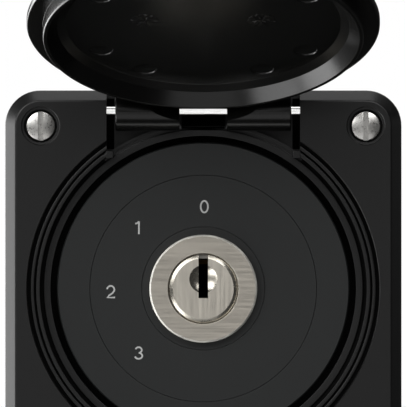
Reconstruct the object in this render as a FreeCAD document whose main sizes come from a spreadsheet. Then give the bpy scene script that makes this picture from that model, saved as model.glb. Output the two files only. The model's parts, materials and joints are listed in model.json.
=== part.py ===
import FreeCAD, Part
import math
import os
import re
import Sketcher

# Selector key switch: flange plate with a round recess, hinged round lid, key-operated lock
# and a four-position rotary switch behind the panel.
# Millimetres.  X is right, Z is up, the front looks along -Y.
# The origin is the plate's centre on the panel surface, which is the back of the gasket.

os.makedirs("parts", exist_ok=True)
doc = FreeCAD.newDocument("SelectorKeySwitch")

# ------------------------------------------------------------------ sizes

# Driving dimensions, one row of the sheet each.
SIZES = [
    # flange plate
    ("plate_width", "75", "outer width and height of the square flange"),
    ("plate_corner", "6.7", "corner radius of the flange"),
    ("plate_bevel", "2.0", "bevel along the front edge"),
    ("gasket_thick", "1.5", "panel gasket"),
    ("flange_thick", "8.5", "flange without the gasket"),
    ("ring_drop", "0.65", "ridges below the face"),
    ("groove_drop", "1.6", "groove floors below the face"),
    ("land_drop", "3.4", "inner land below the face"),
    ("tub_end", "14", "rear end of the tub"),
    # corner screws
    ("screw_shank", "1.5", "M3 thread radius"),
    ("screw_waist", "1.15", "thinner neck that keeps the screw captive"),
    ("screw_head", "2.75", "M3 cheese head radius"),
    ("screw_well", "3.15", "counterbore radius"),
    ("screw_well_depth", "3.0", "counterbore depth"),
    ("screw_tip", "14", "rear end of the corner screws"),
    # hinge
    ("pin_radius", "0.8", "hinge pin"),
    ("barrel", "3.8", "hinge barrel radius"),
    ("barrel_half", "16.6", "half length of the hinge barrel"),
    ("notch_half", "4.5", "half width of the notch in the barrel"),
    # lid, depths measured from the hinge axis towards the plate
    ("lid_open", "115", "angle the lid stands open, degrees"),
    ("lid_under", "-1.2", "underside of the lid flange"),
    ("lid_edge", "-2.9", "widest line of the lid edge"),
    ("lid_top", "-4.6", "outside of the lid at its middle"),
    ("lid_floor", "-1.7", "inside floor of the lid"),
    ("lip_rim", "1.57", "edge of the lid lip"),
    # lock
    ("rosette", "10.2", "rosette radius"),
    ("lock_radius", "9.0", "threaded lock body, M18"),
    ("lock_end", "12", "rear end of the lock body"),
    ("plug", "6.6", "plug radius at the front"),
    ("plug_core", "6.2", "plug radius inside the body"),
    ("key_half", "0.9", "half width of the key slot"),
    ("key_top", "5.7", "upper end of the key slot"),
    ("key_low", "-1.8", "lower end of the key slot"),
    ("dimple_radius", "4.35", "sphere that hollows the plug around the key slot"),
    ("dimple_out", "3.45", "centre of that sphere ahead of the plug"),
    ("dimple_up", "1.8", "centre of that sphere above the axis"),
    ("coil_outer", "0.37", "wafer spring, outer radius"),
    ("coil_inner", "0.21", "wafer spring, inner radius"),
    ("coil_low", "-4.05", "lower end of the wafer springs"),
    ("coil_length", "3.4", "length of the wafer springs"),
    ("tail_end", "18", "rear end of the plug tail"),
    ("drive_half", "3.0", "half width of the square drive"),
    ("drive_end", "22.5", "rear end of the drive coupling"),
    # switch block behind the panel
    ("index_end", "29", "rear of the index housing"),
    ("leaf_thick", "0.35", "index leaf thickness"),
    ("strap_thick", "0.8", "contact straps"),
    ("bearing", "2.9", "shaft journal radius"),
]

# Sizes that follow from the driving ones.
DERIVED = {
    # flange plate
    "back_y": "-gasket_thick",  # rear face of the flange
    "face_y": "-(gasket_thick + flange_thick)",  # front face of the flange
    "rim": "plate_width * 0.444",  # radius of the round recess in the face
    "gap_radius": "rim - 4.4",  # outer wall of the gap around the dial
    "seat_y": "face_y + 7",  # seat that carries the dial ring
    "web_y": "seat_y + 4",  # rear face of the seat web
    "tub": "rim - 2.3",  # outer radius of the tub that passes through the panel
    "tub_bore": "tub - 2.5",  # inner radius of the tub
    "collar": "tub + 1",  # collar that centres the gasket
    "web_bore": "tub - 6",  # hole in the seat web
    # corner screws
    "screw_pitch": "plate_width - 13.5",  # corner screws, centre to centre
    # hinge
    "pin_y": "face_y + 1.5",  # hinge pin behind the face
    "pin_z": "rim + 0.3",  # hinge pin above the centre
    "cut_half": "barrel_half + 1.7",  # half width of the hinge cut-out
    "cut_inner": "rim - 1.9",  # radius where the cut-out ends
    "cut_floor": "face_y + 5.8",  # floor of the hinge cut-out
    "lug_half": "notch_half - 0.35",  # half width of the middle lug
    "pin_reach": "cut_half + 5",  # pin end inside the plate
    # lid, depths measured from the hinge axis towards the plate
    "lid_radius": "rim - 0.55",  # outer radius of the lid
    "lip_outer": "rim - 3.55",  # outer radius of the lid lip
    # dial
    "dial": "rim - 5.6",  # outer radius of the dial ring
    "dial_y": "face_y + 2.8",  # front of the dial
    "dial_joint": "dial - 6.2",  # joint between dial ring and dial disc
    "dial_back": "dial_y + 2",  # rear face of the dial disc
    # carrier behind the dial
    "carrier": "web_bore - 0.3",  # radius of the carrier cup
    "carrier_bore": "carrier - 4.1",  # inner radius of the carrier cup
    "carrier_wall": "dial_back + 3",  # rear face of the carrier front wall
    "carrier_end": "web_y + 2.5",  # rear face of the carrier flange
    "carrier_pitch": "web_bore + 1.2",  # carrier screws, distance from the axis
    # lock
    "rosette_y": "dial_y - 2",  # front of the rosette
    "plug_y": "rosette_y + 0.05",  # front of the plug
    "shoulder_y": "rosette_y + 2.6",  # plug shoulder
    "drive_y": "lock_end + 0.35",  # front of the drive coupling
    # switch block behind the panel
    "tie": "(carrier - 2.05) / sqrt(2)",  # tie screws, sideways from the axis
    "block": "tie + 4",  # half width of the switch block
    "index_y": "carrier_end",  # front of the index housing
    "index_bore": "block - 2.5",  # cavity radius of the index housing
    "wheel": "index_bore - 5.5",  # index wheel radius
    "wheel_y": "drive_end + 0.3",  # front of the index wheel
    "stop_y": "wheel_y + 2.6",  # front of the stop tab
    "wheel_end": "stop_y + 2.6",  # rear of the index wheel
    "leaf_z": "-(wheel + 1.7)",  # lower face of the index leaf
    "case_end": "index_end + 9",  # rear of the switch case
    "contact_pitch": "block * 0.625",  # fixed contacts, distance from the axis
    "base_end": "case_end + 4",  # rear face of the contact base
    "terminal_x": "block * 0.775",  # terminals, sideways from the axis
    "terminal_z": "block * 0.4",  # terminals, above and below the axis
    "cover_end": "base_end + 10",  # rear face of the cover
}

sheet = doc.addObject("Spreadsheet::Sheet", "Sizes")
for row, (alias, number, note) in enumerate(SIZES, start=1):
    sheet.set("A%d" % row, alias)
    sheet.set("B%d" % row, number)
    sheet.set("C%d" % row, note)
    sheet.setAlias("B%d" % row, alias)
doc.recompute()

ALIASES = {alias for alias, number, note in SIZES}
POSITIONS = 4
STEP_ANGLE = 45.0


def bound(text):
    """Expression text in which every size name leads to cells of the sheet."""
    def lead(match):
        word = match.group(0)
        if word in DERIVED:
            return "(" + bound(DERIVED[word]) + ")"
        return "Sizes." + word if word in ALIASES else word
    return re.sub(r"[a-z][a-z_]*", lead, str(text))


def size(text):
    """Number that an expression of size names gives."""
    return float(sheet.evalExpression(bound(text)))


# ------------------------------------------------------------------ sketches and features

def new_body(label):
    body = doc.addObject("PartDesign::Body", label)
    body.Label = label
    return body


def sketch_on(body, name, role, offset):
    """Empty sketch on one of the body's origin planes, moved along the plane's normal."""
    plane = next(item for item in body.Origin.OriginFeatures if item.Role == role)
    sketch = body.newObject("Sketcher::SketchObject", name)
    sketch.AttachmentSupport = (plane, [""])
    sketch.MapMode = "FlatFace"
    sketch.setExpression("AttachmentOffset.Base.z", bound(offset))
    return sketch


def fix(sketch, kind, index, point, text):
    """Distance of one sketch point from the sketch origin, bound to the sheet."""
    number = sketch.addConstraint(Sketcher.Constraint(kind, -1, 1, index, point, size(text)))
    name = "%s_%d_%d" % (kind[-1].lower(), index, point)
    sketch.renameConstraint(number, name)
    sketch.setExpression("Constraints." + name, bound(text))


def circle(x, y, radius):
    return ("circle", x, y, radius)


def polygon(*points):
    return ("polygon", points)


def box(low_x, low_y, high_x, high_y):
    return polygon((low_x, low_y), (high_x, low_y), (high_x, high_y), (low_x, high_y))


def draw(sketch, shapes):
    """Circles and closed polygons; every coordinate is an expression of sizes."""
    for shape in shapes:
        first = sketch.GeometryCount
        if shape[0] == "circle":
            kind, x, y, radius = shape
            centre = FreeCAD.Vector(size(x), size(y), 0)
            sketch.addGeometry(Part.Circle(centre, FreeCAD.Vector(0, 0, 1), size(radius)), False)
            number = sketch.addConstraint(Sketcher.Constraint("Radius", first, size(radius)))
            sketch.renameConstraint(number, "radius_%d" % first)
            sketch.setExpression("Constraints.radius_%d" % first, bound(radius))
            fix(sketch, "DistanceX", first, 3, x)
            fix(sketch, "DistanceY", first, 3, y)
            continue
        points = shape[1]
        corners = [FreeCAD.Vector(size(x), size(y), 0) for x, y in points]
        count = len(corners)
        for step in range(count):
            line = Part.LineSegment(corners[step], corners[(step + 1) % count])
            sketch.addGeometry(line, False)
        for step in range(count):
            after = first + (step + 1) % count
            sketch.addConstraint(Sketcher.Constraint("Coincident", first + step, 2, after, 1))
        for step, (x, y) in enumerate(points):
            fix(sketch, "DistanceX", first + step, 1, x)
            fix(sketch, "DistanceY", first + step, 1, y)


def turn(body, name, kind, points, offset="0"):
    """Revolve a (radius, y) profile about the line x = 0, z = offset."""
    sketch = sketch_on(body, name + "_sketch", "XY_Plane", offset)
    draw(sketch, [polygon(*points)])
    feature = body.newObject(kind, name)
    feature.Profile = sketch
    feature.ReferenceAxis = (sketch, ["V_Axis"])
    feature.Angle = 360
    return feature


def revolve(body, name, points, offset="0"):
    return turn(body, name, "PartDesign::Revolution", points, offset)


def groove(body, name, points, offset="0"):
    return turn(body, name, "PartDesign::Groove", points, offset)


def prism(body, name, kind, role, start, length, shapes):
    sketch = sketch_on(body, name + "_sketch", role, start)
    draw(sketch, shapes)
    feature = body.newObject(kind, name)
    feature.Profile = sketch
    feature.setExpression("Length", bound(length))
    return feature


def pad_y(body, name, front, back, shapes):
    """Add (x, z) shapes between two y levels."""
    length = "(%s) - (%s)" % (back, front)
    return prism(body, name, "PartDesign::Pad", "XZ_Plane", "-(%s)" % back, length, shapes)


def pocket_y(body, name, front, back, shapes):
    """Remove (x, z) shapes between two y levels."""
    length = "(%s) - (%s)" % (back, front)
    return prism(body, name, "PartDesign::Pocket", "XZ_Plane", "-(%s)" % front, length, shapes)


def pad_x(body, name, left, right, shapes):
    """Add (y, z) shapes between two x levels."""
    length = "(%s) - (%s)" % (right, left)
    return prism(body, name, "PartDesign::Pad", "YZ_Plane", left, length, shapes)


def pocket_x(body, name, left, right, shapes):
    """Remove (y, z) shapes between two x levels."""
    length = "(%s) - (%s)" % (right, left)
    return prism(body, name, "PartDesign::Pocket", "YZ_Plane", right, length, shapes)


def pocket_z(body, name, low, high, shapes):
    """Remove (x, y) shapes between two z levels."""
    length = "(%s) - (%s)" % (high, low)
    return prism(body, name, "PartDesign::Pocket", "XY_Plane", high, length, shapes)


def dress(body, name, kind, amount, wanted):
    """Fillet or chamfer the edges of the tip that the wanted() test picks."""
    doc.recompute()
    base = body.Tip
    names = []
    for index, edge in enumerate(base.Shape.Edges, start=1):
        if wanted(edge):
            names.append("Edge%d" % index)
    feature = body.newObject(kind, name)
    feature.Base = (base, names)
    feature.setExpression("Radius" if kind.endswith("Fillet") else "Size", bound(amount))
    return feature


def fillet(body, name, amount, wanted):
    return dress(body, name, "PartDesign::Fillet", amount, wanted)


def chamfer(body, name, amount, wanted):
    return dress(body, name, "PartDesign::Chamfer", amount, wanted)


def along_y(edge):
    """True for a straight edge that runs front to back."""
    if edge.Curve.TypeId != "Part::GeomLine":
        return False
    return abs(abs(edge.Curve.Direction.y) - 1) < 1e-6


def at_y(edge, level):
    """True for an edge that lies in the plane y = level."""
    box_of = edge.BoundBox
    return abs(box_of.YMin - size(level)) < 1e-4 and abs(box_of.YMax - size(level)) < 1e-4


def is_circle(edge, radius):
    if edge.Curve.TypeId != "Part::GeomCircle":
        return False
    return abs(edge.Curve.Radius - size(radius)) < 1e-4


def link_to(seed, name, x="0", y="0", z="0"):
    link = doc.addObject("App::Link", name)
    link.LinkedObject = seed
    link.setExpression("Placement.Base.x", bound(x))
    link.setExpression("Placement.Base.y", bound(y))
    link.setExpression("Placement.Base.z", bound(z))
    return link


def gather(label, items):
    """One node made of several separate solids."""
    group = doc.addObject("Part::Compound", label)
    group.Label = label
    group.Links = items
    return group


def copies(label, seed, places):
    """The same piece at several (x, y, z) places, as one node."""
    links = [link_to(seed, "%s_%d" % (label, n), *place) for n, place in enumerate(places)]
    return gather(label, links)


def corners_of(half):
    """Four (x, z) places at equal distances left and right, up and down."""
    return [("-(%s)" % half, "-(%s)" % half), (half, "-(%s)" % half),
            (half, half), ("-(%s)" % half, half)]


def sides_of(reach):
    """Four (x, z) places to the right, above, left and below."""
    return [(reach, "0"), ("0", reach), ("-(%s)" % reach, "0"), ("0", "-(%s)" % reach)]


def octagon(half, cut):
    """Square with its corners cut off."""
    far = "(%s)" % half
    near = "(%s - %s)" % (half, cut)
    return polygon((near, "-" + far), (far, "-" + near), (far, near), (near, far),
                   ("-" + near, far), ("-" + far, near), ("-" + far, "-" + near),
                   ("-" + near, "-" + far))


def around(radius, angle):
    """(x, z) place on a circle; the angle counts from +X towards +Z."""
    return ("%s * cos(%s)" % (radius, angle), "%s * sin(%s)" % (radius, angle))


def slotted_screw(label, head_y, head_height, head, shank, tip, slot, depth):
    """Cheese-head screw on the axis, pointing backwards, with an upright slot."""
    screw = new_body(label)
    under = "%s + %s" % (head_y, head_height)
    revolve(screw, label + "_turned",
            [("0", head_y), ("%s - 0.35" % head, head_y), (head, "%s + 0.35" % head_y),
             (head, under), (shank, under), (shank, "%s - 0.5" % tip),
             ("%s - 0.5" % shank, tip), ("0", tip)])
    pocket_y(screw, label + "_slot", head_y, "%s + %s" % (head_y, depth),
             [box("-%s" % slot, "-%s - 1" % head, slot, "%s + 1" % head)])
    return screw


def flange_blank(body):
    """Square slab with rounded corners and a bevelled front edge."""
    half = "plate_width / 2"
    pad_y(body, body.Label + "_slab", "face_y", "back_y", [box("-" + half, "-" + half, half, half)])
    fillet(body, body.Label + "_corners", "plate_corner", along_y)
    chamfer(body, body.Label + "_bevel", "plate_bevel", lambda edge: at_y(edge, "face_y"))


TIES = corners_of("tie")
nodes = []

# ------------------------------------------------------------------ flange plate

plate = new_body("front_plate")
flange_blank(plate)
revolve(plate, "tub_wall",
        [("0", "back_y - 2"), ("collar", "back_y - 2"), ("collar", "0"), ("tub", "0"),
         ("tub", "tub_end"), ("0", "tub_end")])
# One profile opens the recess: outer groove, two ridges, inner groove, land, gap, seat and bore.
groove(plate, "recess",
       [("0", "face_y - 1"), ("rim", "face_y - 1"), ("rim", "face_y + groove_drop"),
        ("rim - 0.7", "face_y + groove_drop"), ("rim - 0.7", "face_y + ring_drop"),
        ("rim - 1.3", "face_y + ring_drop"), ("rim - 1.3", "face_y + groove_drop"),
        ("rim - 1.7", "face_y + groove_drop"), ("rim - 1.7", "face_y + ring_drop"),
        ("rim - 2.4", "face_y + ring_drop"), ("rim - 2.4", "face_y + land_drop + 0.5"),
        ("rim - 3.1", "face_y + land_drop + 0.5"), ("rim - 3.1", "face_y + land_drop"),
        ("gap_radius", "face_y + land_drop"), ("gap_radius", "seat_y"),
        ("web_bore", "seat_y"), ("web_bore", "web_y"), ("tub_bore", "web_y"),
        ("tub_bore", "tub_end + 1"), ("0", "tub_end + 1")])
# The hinge cut-out stops at an arc around the recess, so its sketch has one arc.
cut_sketch = sketch_on(plate, "hinge_cut_sketch", "XZ_Plane", "-face_y")
cut_top = "plate_width / 2 + 1"
cut_side = "sqrt(cut_inner ^ 2 - cut_half ^ 2)"
left_low = FreeCAD.Vector(-size("cut_half"), size(cut_side), 0)
left_high = FreeCAD.Vector(-size("cut_half"), size(cut_top), 0)
right_high = FreeCAD.Vector(size("cut_half"), size(cut_top), 0)
right_low = FreeCAD.Vector(size("cut_half"), size(cut_side), 0)
middle = FreeCAD.Vector(0, size("cut_inner"), 0)
cut_sketch.addGeometry(Part.LineSegment(left_low, left_high), False)
cut_sketch.addGeometry(Part.LineSegment(left_high, right_high), False)
cut_sketch.addGeometry(Part.LineSegment(right_high, right_low), False)
cut_sketch.addGeometry(Part.Arc(right_low, middle, left_low), False)
for index in range(2):
    cut_sketch.addConstraint(Sketcher.Constraint("Coincident", index, 2, index + 1, 1))
cut_sketch.addConstraint(Sketcher.Constraint("Coincident", 2, 2, 3, 1))
cut_sketch.addConstraint(Sketcher.Constraint("Coincident", 0, 1, 3, 2))
cut_sketch.addConstraint(Sketcher.Constraint("Coincident", 3, 3, -1, 1))
fix(cut_sketch, "DistanceX", 0, 2, "-cut_half")
fix(cut_sketch, "DistanceY", 0, 2, cut_top)
fix(cut_sketch, "DistanceX", 1, 2, "cut_half")
fix(cut_sketch, "DistanceY", 1, 2, cut_top)
fix(cut_sketch, "DistanceX", 0, 1, "-cut_half")
fix(cut_sketch, "DistanceY", 0, 1, cut_side)
fix(cut_sketch, "DistanceX", 2, 2, "cut_half")
hinge_cut = plate.newObject("PartDesign::Pocket", "hinge_cut")
hinge_cut.Profile = cut_sketch
hinge_cut.setExpression("Length", bound("cut_floor - face_y"))
pocket_x(plate, "barrel_room", "-cut_half", "cut_half", [circle("pin_y", "pin_z", "barrel + 0.3")])
pad_x(plate, "middle_lug", "-lug_half", "lug_half",
      [box("pin_y + 0.2", "pin_z - 3", "cut_floor + 1", "pin_z + 0.9")])
# The pin goes in from the right-hand side and ends blind on the left.
pocket_x(plate, "pin_bore", "-pin_reach - 0.3", "plate_width / 2 + 1",
         [circle("pin_y", "pin_z", "pin_radius + 0.01")])
half_pitch = "screw_pitch / 2"
pocket_y(plate, "screw_holes", "face_y", "back_y + 1",
         [circle(x, z, "screw_shank + 0.2") for x, z in corners_of(half_pitch)])
pocket_y(plate, "screw_wells", "face_y", "face_y + screw_well_depth",
         [circle(x, z, "screw_well") for x, z in corners_of(half_pitch)])
chamfer(plate, "well_edges", "0.45",
        lambda edge: at_y(edge, "face_y") and is_circle(edge, "screw_well"))
pocket_y(plate, "carrier_threads", "web_y - 3.6", "web_y",
         [circle(x, z, "1.26") for x, z in sides_of("carrier_pitch")])
nodes.append(plate)

gasket = new_body("panel_gasket")
pad_y(gasket, "sheet_rubber", "back_y", "0",
      [box("-plate_width / 2 + 0.5", "-plate_width / 2 + 0.5",
           "plate_width / 2 - 0.5", "plate_width / 2 - 0.5")])
fillet(gasket, "gasket_corners", "plate_corner - 0.5", along_y)
pocket_y(gasket, "gasket_holes", "back_y - 1", "1",
         [circle("0", "0", "collar + 0.05")]
         + [circle(x, z, "screw_shank + 0.3") for x, z in corners_of(half_pitch)])
nodes.append(gasket)

corner_seed = slotted_screw("corner_screw_seed", "face_y + 0.3", "2.2", "screw_head",
                            "screw_shank", "screw_tip", "0.4", "1.1")
# A waisted neck between head and thread: the seal washer holds the screw in its hole.
groove(corner_seed, "corner_screw_neck",
       [("screw_waist", "face_y + 2.5"), ("screw_shank + 1", "face_y + 2.5"),
        ("screw_shank + 1", "0"), ("screw_waist", "0")])
corner_places = [(x, "0", z) for x, z in corners_of(half_pitch)]
nodes.append(copies("corner_screws", corner_seed, corner_places))

seal_seed = new_body("screw_seal_seed")
revolve(seal_seed, "screw_seal_turned",
        [("screw_waist + 0.03", "face_y + 2.5"), ("screw_head - 0.05", "face_y + 2.5"),
         ("screw_head - 0.05", "face_y + 3.0"), ("screw_waist + 0.03", "face_y + 3.0")])
nodes.append(copies("screw_seals", seal_seed, corner_places))

# ------------------------------------------------------------------ hinge pin and its plug

pin = new_body("hinge_pin")
pad_x(pin, "pin_rod", "-pin_reach", "pin_reach", [circle("pin_y", "pin_z", "pin_radius")])
nodes.append(pin)

# The plug closes the pin bore; its outer end follows the flange's side and bevel.
plug_rod = new_body("pin_plug_rod")
pad_x(plug_rod, "pin_plug_round", "plate_width / 2 - 4.2", "plate_width / 2 + 1",
      [circle("pin_y", "pin_z", "pin_radius")])
plug_limit = new_body("pin_plug_limit")
flange_blank(plug_limit)
pin_plug = doc.addObject("Part::Common", "pin_plug")
pin_plug.Label = "pin_plug"
pin_plug.Base = plug_rod
pin_plug.Tool = plug_limit
nodes.append(pin_plug)

# ------------------------------------------------------------------ lid
# Drawn about the hinge axis in the closed pose, then placed open.

lid = new_body("lid_shell")
revolve(lid, "lid_turned",
        [("0", "lid_top"), ("lid_radius - 5", "lid_top + 0.2"),
         ("lid_radius - 1.6", "lid_top + 0.75"), ("lid_radius - 0.45", "lid_edge - 0.45"),
         ("lid_radius", "lid_edge + 0.5"), ("lid_radius", "lid_under"), ("lip_outer", "lid_under"),
         ("lip_outer", "lip_rim"), ("lip_outer - 0.75", "lip_rim"),
         ("lip_outer - 2.65", "lip_rim - 2.4"), ("lip_outer - 4.25", "lid_floor"),
         ("0", "lid_floor")], "-pin_z")
pad_x(lid, "hinge_barrel", "-barrel_half", "barrel_half", [circle("0", "0", "barrel")])
pad_x(lid, "hinge_web", "-barrel_half", "barrel_half",
      [box("-barrel", "-6.2", "lid_under", "0")])
groove(lid, "barrel_scoop",
       [("lip_outer", "lid_under"), ("rim - 1.6", "lid_under"), ("rim - 1.6", "barrel + 1"),
        ("lip_outer", "barrel + 1")], "-pin_z")
pocket_x(lid, "barrel_notch", "-notch_half", "notch_half",
         [polygon(("-barrel - 1", "lid_radius - pin_z"), ("lid_under", "lid_radius - pin_z"),
                  ("lid_under", "-barrel - 0.5"), ("barrel + 1", "-barrel - 0.5"),
                  ("barrel + 1", "barrel + 1"), ("-barrel - 1", "barrel + 1"))])
pocket_x(lid, "lid_bore", "-barrel_half - 1", "barrel_half + 1",
         [circle("0", "0", "pin_radius + 0.03")])
pad_y(lid, "finger_tab", "lid_edge - 1.2", "lid_under - 0.65",
      [box("-6", "-pin_z - lid_radius - 2.2", "6", "-pin_z - lid_radius + 1.5")])
marks = [around("(lid_radius - 10.75)", angle) for angle in (30, 60, 120, 150, 210, 240, 300, 330)]
pocket_y(lid, "ejector_marks", "lid_floor - 0.12", "lid_floor",
         [circle(x, z + " - pin_z", "2.25") for x, z in marks])
lid.setExpression("Placement.Base.y", bound("pin_y"))
lid.setExpression("Placement.Base.z", bound("pin_z"))
lid.Placement.Rotation = FreeCAD.Rotation(FreeCAD.Vector(1, 0, 0), -size("lid_open"))
lid.setExpression("Placement.Rotation.Angle", bound("lid_open * 1deg"))
lid.setExpression("Placement.Rotation.Axis.x", "-1")
lid.setExpression("Placement.Rotation.Axis.y", "0")
lid.setExpression("Placement.Rotation.Axis.z", "0")
nodes.append(lid)

# ------------------------------------------------------------------ dial

ring = new_body("dial_ring")
revolve(ring, "ring_turned",
        [("dial_joint", "dial_y"), ("dial - 0.25", "dial_y"), ("dial", "dial_y + 0.25"),
         ("dial", "seat_y - 0.6"), ("web_bore + 0.2", "seat_y - 0.6"),
         ("web_bore + 0.2", "dial_back + 0.02"), ("dial_joint - 1.5", "dial_back + 0.02"),
         ("dial_joint - 1.5", "dial_y + 1"), ("dial_joint", "dial_y + 1")])
nodes.append(ring)

dial_seal = new_body("dial_seal")
revolve(dial_seal, "dial_seal_turned",
        [("web_bore + 0.3", "seat_y - 0.58"), ("dial - 0.2", "seat_y - 0.58"),
         ("dial - 0.2", "seat_y"), ("web_bore + 0.3", "seat_y")])
nodes.append(dial_seal)

disc = new_body("dial_disc")
revolve(disc, "disc_turned",
        [("lock_radius + 0.05", "dial_y"), ("dial_joint - 0.14", "dial_y"),
         ("dial_joint - 0.06", "dial_y + 0.08"), ("dial_joint - 0.06", "dial_y + 0.98"),
         ("dial_joint - 1.56", "dial_y + 0.98"), ("dial_joint - 1.56", "dial_back"),
         ("lock_radius + 0.05", "dial_back")])
pad_y(disc, "disc_key", "dial_y + 0.4", "dial_back",
      [box("-lock_radius - 0.3", "-0.95", "-lock_radius + 0.75", "0.95")])
nodes.append(disc)

# ------------------------------------------------------------------ carrier

cup = new_body("insert_carrier")
revolve(cup, "cup_turned",
        [("lock_radius + 1.6", "dial_back + 0.02"), ("carrier", "dial_back + 0.02"),
         ("carrier", "web_y"), ("tub_bore - 0.3", "web_y"), ("tub_bore - 0.3", "carrier_end"),
         ("carrier_bore", "carrier_end"), ("carrier_bore", "carrier_wall"),
         ("lock_radius + 0.05", "carrier_wall"), ("lock_radius + 0.05", "dial_back + 1.4"),
         ("lock_radius + 1.6", "dial_back + 1.4")])
pad_y(cup, "cup_key", "dial_back + 1.4", "carrier_wall",
      [box("-lock_radius - 0.3", "-0.95", "-lock_radius + 0.75", "0.95")])
pocket_y(cup, "tie_threads", "carrier_end - 5", "carrier_end",
         [circle(x, z, "1.52") for x, z in TIES])
pocket_y(cup, "flange_holes", "web_y", "carrier_end",
         [circle(x, z, "1.35") for x, z in sides_of("carrier_pitch")])
nodes.append(cup)

carrier_seed = new_body("carrier_screw_seed")
revolve(carrier_seed, "carrier_screw_turned",
        [("0", "web_y - 3.2"), ("0.9", "web_y - 3.2"), ("1.25", "web_y - 2.8"),
         ("1.25", "carrier_end"), ("2.0", "carrier_end"), ("2.0", "carrier_end + 1.4"),
         ("1.7", "carrier_end + 1.7"), ("0", "carrier_end + 1.7")])
pocket_y(carrier_seed, "carrier_screw_slot", "carrier_end + 0.9", "carrier_end + 2",
         [box("-0.3", "-3", "0.3", "3")])
nodes.append(copies("carrier_screws", carrier_seed,
                    [(x, "0", z) for x, z in sides_of("carrier_pitch")]))

# ------------------------------------------------------------------ lock

lock = new_body("lock_body")
revolve(lock, "lock_turned",
        [("plug + 0.06", "rosette_y + 0.12"), ("plug + 0.18", "rosette_y"),
         ("rosette - 0.4", "rosette_y"), ("rosette", "rosette_y + 0.4"), ("rosette", "dial_y"),
         ("lock_radius", "dial_y"), ("lock_radius", "lock_end - 0.6"),
         ("lock_radius - 0.6", "lock_end"), ("plug_core + 0.05", "lock_end"),
         ("plug_core + 0.05", "shoulder_y + 0.1"), ("plug + 0.06", "shoulder_y + 0.1")])
pocket_y(lock, "wafer_grooves", "shoulder_y + 1.5", "lock_end + 1",
         [box("-3.1", "-plug_core - 1.4", "3.1", "plug_core + 1.4")])
pocket_y(lock, "key_flat", "dial_y", "lock_end + 1",
         [box("-lock_radius - 1", "-1", "-lock_radius + 0.8", "1")])
nodes.append(lock)

ring_seal = new_body("lock_seal")
seal_sketch = sketch_on(ring_seal, "lock_seal_sketch", "XY_Plane", "0")
draw(seal_sketch, [circle("lock_radius + 0.82", "dial_back + 0.72", "0.66")])
seal_turn = ring_seal.newObject("PartDesign::Revolution", "lock_seal_turned")
seal_turn.Profile = seal_sketch
seal_turn.ReferenceAxis = (seal_sketch, ["V_Axis"])
seal_turn.Angle = 360
nodes.append(ring_seal)

washer = new_body("lock_washer")
revolve(washer, "washer_turned",
        [("lock_radius + 0.05", "carrier_wall"), ("lock_radius + 3.5", "carrier_wall"),
         ("lock_radius + 3.5", "carrier_wall + 0.6"), ("lock_radius + 0.05", "carrier_wall + 0.6")])
pocket_y(washer, "washer_teeth", "carrier_wall - 1", "carrier_wall + 1",
         [circle(*around("(lock_radius + 3.5)", angle), "0.9") for angle in range(0, 360, 30)])
nodes.append(washer)

nut = new_body("lock_nut")
nut_corner = "(lock_radius + 4.85)"
nut_front = "carrier_wall + 0.6"
pad_y(nut, "nut_hexagon", nut_front, nut_front + " + 3.2",
      [polygon(*[around(nut_corner, 60 * n) for n in range(6)])])
pocket_y(nut, "nut_bore", nut_front, nut_front + " + 3.2", [circle("0", "0", "lock_radius + 0.02")])
nodes.append(nut)

# ------------------------------------------------------------------ plug, wafers and drive

key_plug = new_body("lock_plug")
revolve(key_plug, "plug_turned",
        [("0", "plug_y"), ("plug - 0.35", "plug_y"), ("plug", "plug_y + 0.35"),
         ("plug", "shoulder_y"), ("plug_core", "shoulder_y"), ("plug_core", "drive_y"),
         ("0", "drive_y")])
pad_y(key_plug, "plug_tail", "drive_y", "tail_end",
      [box("-drive_half", "-drive_half", "drive_half", "drive_half")])
pocket_y(key_plug, "key_slot", "plug_y", "lock_end - 2.5",
         [box("-key_half", "key_low", "key_half", "key_top")])
pocket_y(key_plug, "key_notch", "plug_y", "plug_y + 0.5",
         [box("-key_half", "key_top", "key_half", "plug + 1")])
dimple = key_plug.newObject("PartDesign::SubtractiveSphere", "key_dimple")
dimple.setExpression("Radius", bound("dimple_radius"))
dimple.setExpression("Placement.Base.y", bound("plug_y - dimple_out"))
dimple.setExpression("Placement.Base.z", bound("dimple_up"))
WAFERS = 5
WAFER_PITCH = 2.4
wafer_levels = ["shoulder_y + 3 + %g" % (WAFER_PITCH * n) for n in range(WAFERS)]
pocket_z(key_plug, "wafer_slots", "-plug_core - 0.5", "plug_core + 0.5",
         [box("-3", level, "3", level + " + 0.9") for level in wafer_levels])
pocket_x(key_plug, "tail_hole", "-drive_half - 1", "drive_half + 1",
         [circle("tail_end - 1.8", "0", "0.76")])
nodes.append(key_plug)

wafer_seed = new_body("wafer_seed")
wafer_level = "shoulder_y + 3.1"
pad_y(wafer_seed, "wafer_blank", wafer_level, wafer_level + " + 0.7",
      [box("-2.85", "-5.35", "2.85", "5.35")])
pocket_y(wafer_seed, "wafer_window", wafer_level + " - 1", wafer_level + " + 1",
         [box("-1", "key_low - 0.1", "1", "key_top - 1.1"), box("1.7", "-4.2", "4", "-0.5")])
wafer_places = [("0", "%g" % (WAFER_PITCH * n), "0") for n in range(WAFERS)]
nodes.append(copies("lock_wafers", wafer_seed, wafer_places))

# Each coil spring is a sleeve of the coil's outer and inner diameter.
coil = new_body("wafer_spring_seed")
coil_sketch = sketch_on(coil, "coil_sketch", "XY_Plane", "coil_low")
draw(coil_sketch, [circle("0", "0", "coil_outer"), circle("0", "0", "coil_inner")])
coil_sleeve = coil.newObject("PartDesign::Pad", "coil_sleeve")
coil_sleeve.Profile = coil_sketch
coil_sleeve.setExpression("Length", bound("coil_length"))
spring_places = [("2.3", level + " + 0.45", "0") for level in wafer_levels]
nodes.append(copies("wafer_springs", coil, spring_places))

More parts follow.
